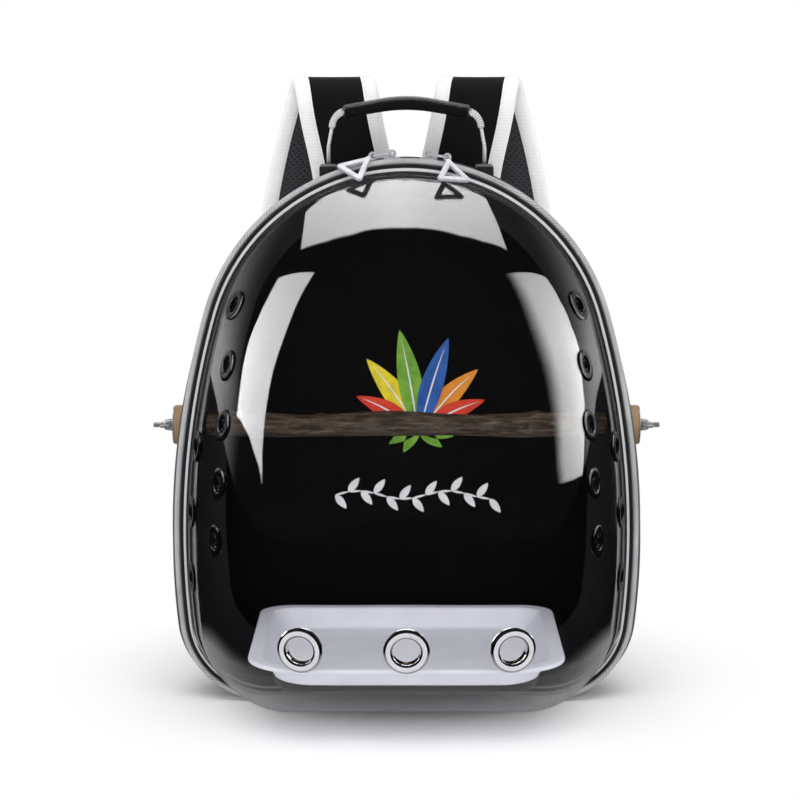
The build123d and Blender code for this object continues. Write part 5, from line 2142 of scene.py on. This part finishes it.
def sight(tree: Tree) -> tuple[Socket, Socket]:
    """Tells rays that look straight at the room, also through clear plastic, from mirrored ones.

    Args:
        tree: The node tree.

    Returns:
        A socket that is 1 for a ray that looks straight, and one that is 1 for a mirrored ray.
    """
    rays = add_node(tree, "ShaderNodeLightPath")
    bounced = maths(tree, "MINIMUM", rays.outputs["Glossy Depth"], 1.0)
    scattered = maths(tree, "MINIMUM", rays.outputs["Diffuse Depth"], 1.0)
    straight = maths(tree, "MAXIMUM", rays.outputs["Is Camera Ray"], rays.outputs["Is Transmission Ray"])
    glossy = maths(tree, "MAXIMUM", rays.outputs["Is Glossy Ray"], rays.outputs["Is Transmission Ray"])
    seen = maths(
        tree, "MULTIPLY", straight, maths(tree, "SUBTRACT", 1.0, maths(tree, "MAXIMUM", bounced, scattered))
    )
    kept = maths(tree, "MULTIPLY", bounced, maths(tree, "SUBTRACT", 1.0, scattered))
    return seen, maths(tree, "MULTIPLY", glossy, kept)


@dataclass(frozen=True)
class Lamp:
    """A soft light, in metres: where it stands, what it faces, its size and its strength."""

    name: str
    place: tuple[float, float, float]
    aim: tuple[float, float, float]
    size: tuple[float, float]
    power: float

    def light(self) -> None:
        """Adds the lamp, which lights surfaces and leaves the gloss to the cards."""
        data = bpy.data.lights.new(self.name, "AREA")
        data.shape = "RECTANGLE"
        data.size, data.size_y = self.size
        data.energy = self.power
        lamp = bpy.data.objects.new(self.name, data)
        lamp.location = self.place
        lamp.rotation_euler = (Vector(self.aim) - Vector(self.place)).to_track_quat("-Z", "Y").to_euler()
        lamp.visible_glossy = lamp.visible_transmission = False
        bpy.context.scene.collection.objects.link(lamp)


@dataclass(frozen=True)
class Card:
    """A glowing studio card that shows only in gloss, in metres: its two edges lie in one plane."""

    name: str
    axis: int
    at: float
    outer: tuple[Spot, ...]
    inner: tuple[Spot, ...]
    level: float
    soft: float
    ends: tuple[str, str] = ("#E0E0E0", "#E6E6E6")

    def hang(self) -> None:
        """Hangs the card in the studio."""
        columns = 8
        spots: list[tuple[float, ...]] = []
        marks: list[Spot] = []
        for row, (a, b) in enumerate(zip(self.outer, self.inner)):
            for column in range(columns + 1):
                u = column / columns
                flat = [a[k] + (b[k] - a[k]) * u for k in (0, 1)]
                flat.insert(self.axis, self.at)
                spots.append(tuple(flat))
                marks.append((u, row / (len(self.outer) - 1)))
        faces = []
        for row in range(len(self.outer) - 1):
            for column in range(columns):
                first = row * (columns + 1) + column
                faces.append((first, first + 1, first + columns + 2, first + columns + 1))
        mesh = bpy.data.meshes.new(self.name)
        mesh.from_pydata(spots, [], faces)
        layer = mesh.uv_layers.new(name="card")
        for loop in mesh.loops:
            layer.data[loop.index].uv = marks[loop.vertex_index]
        mesh.materials.append(self.glow())
        card = add_object(self.name, mesh)
        card.visible_camera = card.visible_diffuse = card.visible_shadow = False

    def glow(self) -> Material:
        """Makes the card's light, which fades towards its inner edge and its ends.

        Returns:
            The material.
        """
        material, tree = empty_material(f"{self.name}_glow")
        place = add_node(tree, "ShaderNodeUVMap", settings={"uv_map": "card"})
        apart = add_node(tree, "ShaderNodeSeparateXYZ", links=[(place.outputs[0], "Vector")])
        edge = add_node(
            tree, "ShaderNodeMapRange", settings={"interpolation_type": "SMOOTHSTEP"},
            links=[(apart.outputs["X"], "Value")],
            values={"From Min": 1.0 - self.soft, "From Max": 1.0, "To Min": self.level, "To Max": 0.0}
        )
        along = add_ramp(
            tree, apart.outputs["Y"], ((0.0, self.ends[0]), (0.45, "#FFFFFF"), (1.0, self.ends[1]))
        )
        power = maths(tree, "MULTIPLY", edge.outputs[0], along)
        mirrored = sight(tree)[1]
        glow = add_node(tree, "ShaderNodeEmission", values={"Color": (1, 1, 1, 1)}, links=[(power, "Strength")])
        clear = add_node(tree, "ShaderNodeBsdfTransparent")
        mixed = add_node(
            tree, "ShaderNodeMixShader", links=[(mirrored, 0), (clear.outputs[0], 1), (glow.outputs[0], 2)]
        )
        add_node(tree, "ShaderNodeOutputMaterial", links=[(mixed.outputs[0], "Surface")])
        return material


@dataclass
class Studio:
    """The camera, the pale floor and backdrop, and the softboxes."""

    eye: tuple[float, float, float] = (0.0, -2.045, 0.5226)
    aim: tuple[float, float, float] = (0.0, -0.045, 0.2246)
    lens: float = 125.55
    shift: float = -0.0081
    lamps: tuple[Lamp, ...] = (
        Lamp("key", (0.0, -1.3, 1.9), (0.0, -0.1, 0.2), (1.6, 1.0), 15.0),
        Lamp("left_fill", (-1.3, -1.3, 0.7), (0.0, -0.1, 0.2), (0.8, 1.0), 5.0),
        Lamp("right_fill", (1.3, -1.3, 0.7), (0.0, -0.1, 0.2), (0.8, 1.0), 5.0)
    )
    cards: tuple[Card, ...] = (
        Card(
            "left_card", 0, -1.39,
            (
                (0.43, 1.42), (0.42, 1.17), (0.44, 0.95), (0.51, 0.70), (0.59, 0.47), (0.65, 0.33), (0.2, 0.4),
                (-0.15, 0.36)
            ),
            (
                (0.0, 2.24), (-0.1, 1.7), (-0.16, 1.32), (-0.17, 1.02), (-0.2, 0.76), (-0.22, 0.6),
                (-0.225, 0.42), (-0.23, 0.3)
            ),
            5.6, 0.02
        ),
        Card(
            "right_card", 0, 1.39,
            ((0.6, 1.25), (0.66, 0.97), (0.76, 0.7), (0.95, 0.45), (0.97, 0.29), (0.74, 0.21), (0.63, 0.16)),
            (
                (0.05, 2.1), (-0.05, 1.68), (-0.13, 1.38), (-0.15, 1.05), (-0.17, 0.8), (-0.14, 0.5),
                (-0.1, 0.28)
            ),
            4.2, 0.4, ("#DADADA", "#CCCCCC")
        ),
        Card(
            "top_card", 2, 1.76,
            (
                (-1.07, 0.7), (-0.76, 0.6), (-0.51, 0.49), (-0.21, 0.43), (-0.01, 0.41), (0.2, 0.42),
                (0.47, 0.49), (0.77, 0.58), (0.93, 0.47)
            ),
            (
                (-1.22, 0.39), (-0.85, 0.16), (-0.56, 0.04), (-0.23, -0.02), (-0.01, -0.04), (0.21, -0.03),
                (0.53, 0.02), (0.8, 0.12), (1.14, 0.31)
            ),
            5.6, 0.05, ("#CCCCCC", "#CCCCCC")
        )
    )

    def build(self) -> None:
        """Builds the studio."""
        scene = bpy.context.scene
        data = bpy.data.cameras.new("camera")
        data.lens, data.shift_x, data.clip_end = self.lens, self.shift, 50.0
        camera = bpy.data.objects.new("camera", data)
        camera.location = self.eye
        camera.rotation_euler = (Vector(self.aim) - Vector(self.eye)).to_track_quat("-Z", "Y").to_euler()
        scene.collection.objects.link(camera)
        scene.camera = camera
        scene.view_settings.view_transform = "Standard"
        self.world(scene)
        self.floor()
        for lamp in self.lamps:
            lamp.light()
        for card in self.cards:
            card.hang()

    def world(self, scene: bpy.types.Scene) -> None:
        """Makes the surroundings: a white backdrop behind, a dim room in front.

        Args:
            scene: The scene to light.
        """
        world = bpy.data.worlds.new("studio")
        world.use_nodes = True
        tree = world.node_tree
        tree.nodes.clear()
        place = add_node(tree, "ShaderNodeTexCoord")
        apart = add_node(tree, "ShaderNodeSeparateXYZ", links=[(place.outputs["Generated"], "Vector")])
        behind = add_node(
            tree, "ShaderNodeMapRange", settings={"interpolation_type": "SMOOTHSTEP"},
            links=[(apart.outputs["Y"], "Value")],
            values={"From Min": 0.4, "From Max": 0.97, "To Min": 0.01, "To Max": 1.0}
        )
        seen, mirrored = sight(tree)
        glossy = maths(tree, "MULTIPLY", mirrored, behind.outputs[0])
        rest = maths(
            tree, "MULTIPLY", maths(tree, "SUBTRACT", 1.0, maths(tree, "MAXIMUM", seen, mirrored)), 0.85
        )
        strength = maths(tree, "ADD", maths(tree, "ADD", seen, glossy), rest)
        surround = add_node(
            tree, "ShaderNodeBackground", links=[(strength, "Strength")], values={"Color": (1, 1, 1, 1)}
        )
        add_node(tree, "ShaderNodeOutputWorld", links=[(surround.outputs[0], "Surface")])
        scene.world = world

    def floor(self) -> None:
        """Makes the pale floor, which fades into the backdrop."""
        mesh = bpy.data.meshes.new("floor")
        reach = 12.0
        mesh.from_pydata(
            [(-reach, -reach, 0), (reach, -reach, 0), (reach, reach, 0), (-reach, reach, 0)], [], [(0, 1, 2, 3)]
        )
        floor = add_object("floor", mesh)
        material, tree = empty_material("painted_floor")
        place = add_node(tree, "ShaderNodeTexCoord")
        away = add_node(
            tree, "ShaderNodeVectorMath", settings={"operation": "LENGTH"}, links=[(place.outputs["Object"], 0)]
        )
        fade = add_node(
            tree, "ShaderNodeMapRange", settings={"interpolation_type": "SMOOTHSTEP"},
            links=[(away.outputs["Value"], "Value")], values={"From Min": 0.15, "From Max": 0.31}
        )
        seen, mirrored = sight(tree)
        dim = maths(tree, "MULTIPLY", mirrored, maths(tree, "MAXIMUM", fade.outputs[0], 0.6))
        far = maths(tree, "MAXIMUM", maths(tree, "MULTIPLY", fade.outputs[0], seen), dim)
        paint = add_node(tree, "ShaderNodeBsdfDiffuse", values={"Color": linear("#F7F7F7")})
        glow = add_node(tree, "ShaderNodeEmission", values={"Color": (1, 1, 1, 1)}, links=[(seen, "Strength")])
        mixed = add_node(
            tree, "ShaderNodeMixShader", links=[(far, 0), (paint.outputs[0], 1), (glow.outputs[0], 2)]
        )
        add_node(tree, "ShaderNodeOutputMaterial", links=[(mixed.outputs[0], "Surface")])
        mesh.materials.append(material)


def main() -> None:
    """Builds the studio and every sub-assembly."""
    logging.basicConfig(level=logging.INFO, format="%(name)s %(message)s")
    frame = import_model()
    Studio().build()
    finishes = Finishes()
    assemblies: tuple[Assembly, ...] = (
        ClearShell(finishes), ZipAndTrim(finishes), Perch(finishes), Tray(finishes), SoftBody(finishes),
        Print(finishes), Handle(finishes), Straps(finishes), Fittings(finishes, frame["nodes"])
    )
    for assembly in assemblies:
        log.info("building %s", type(assembly).__name__)
        assembly.build()


if __name__ == "__main__":
    main()
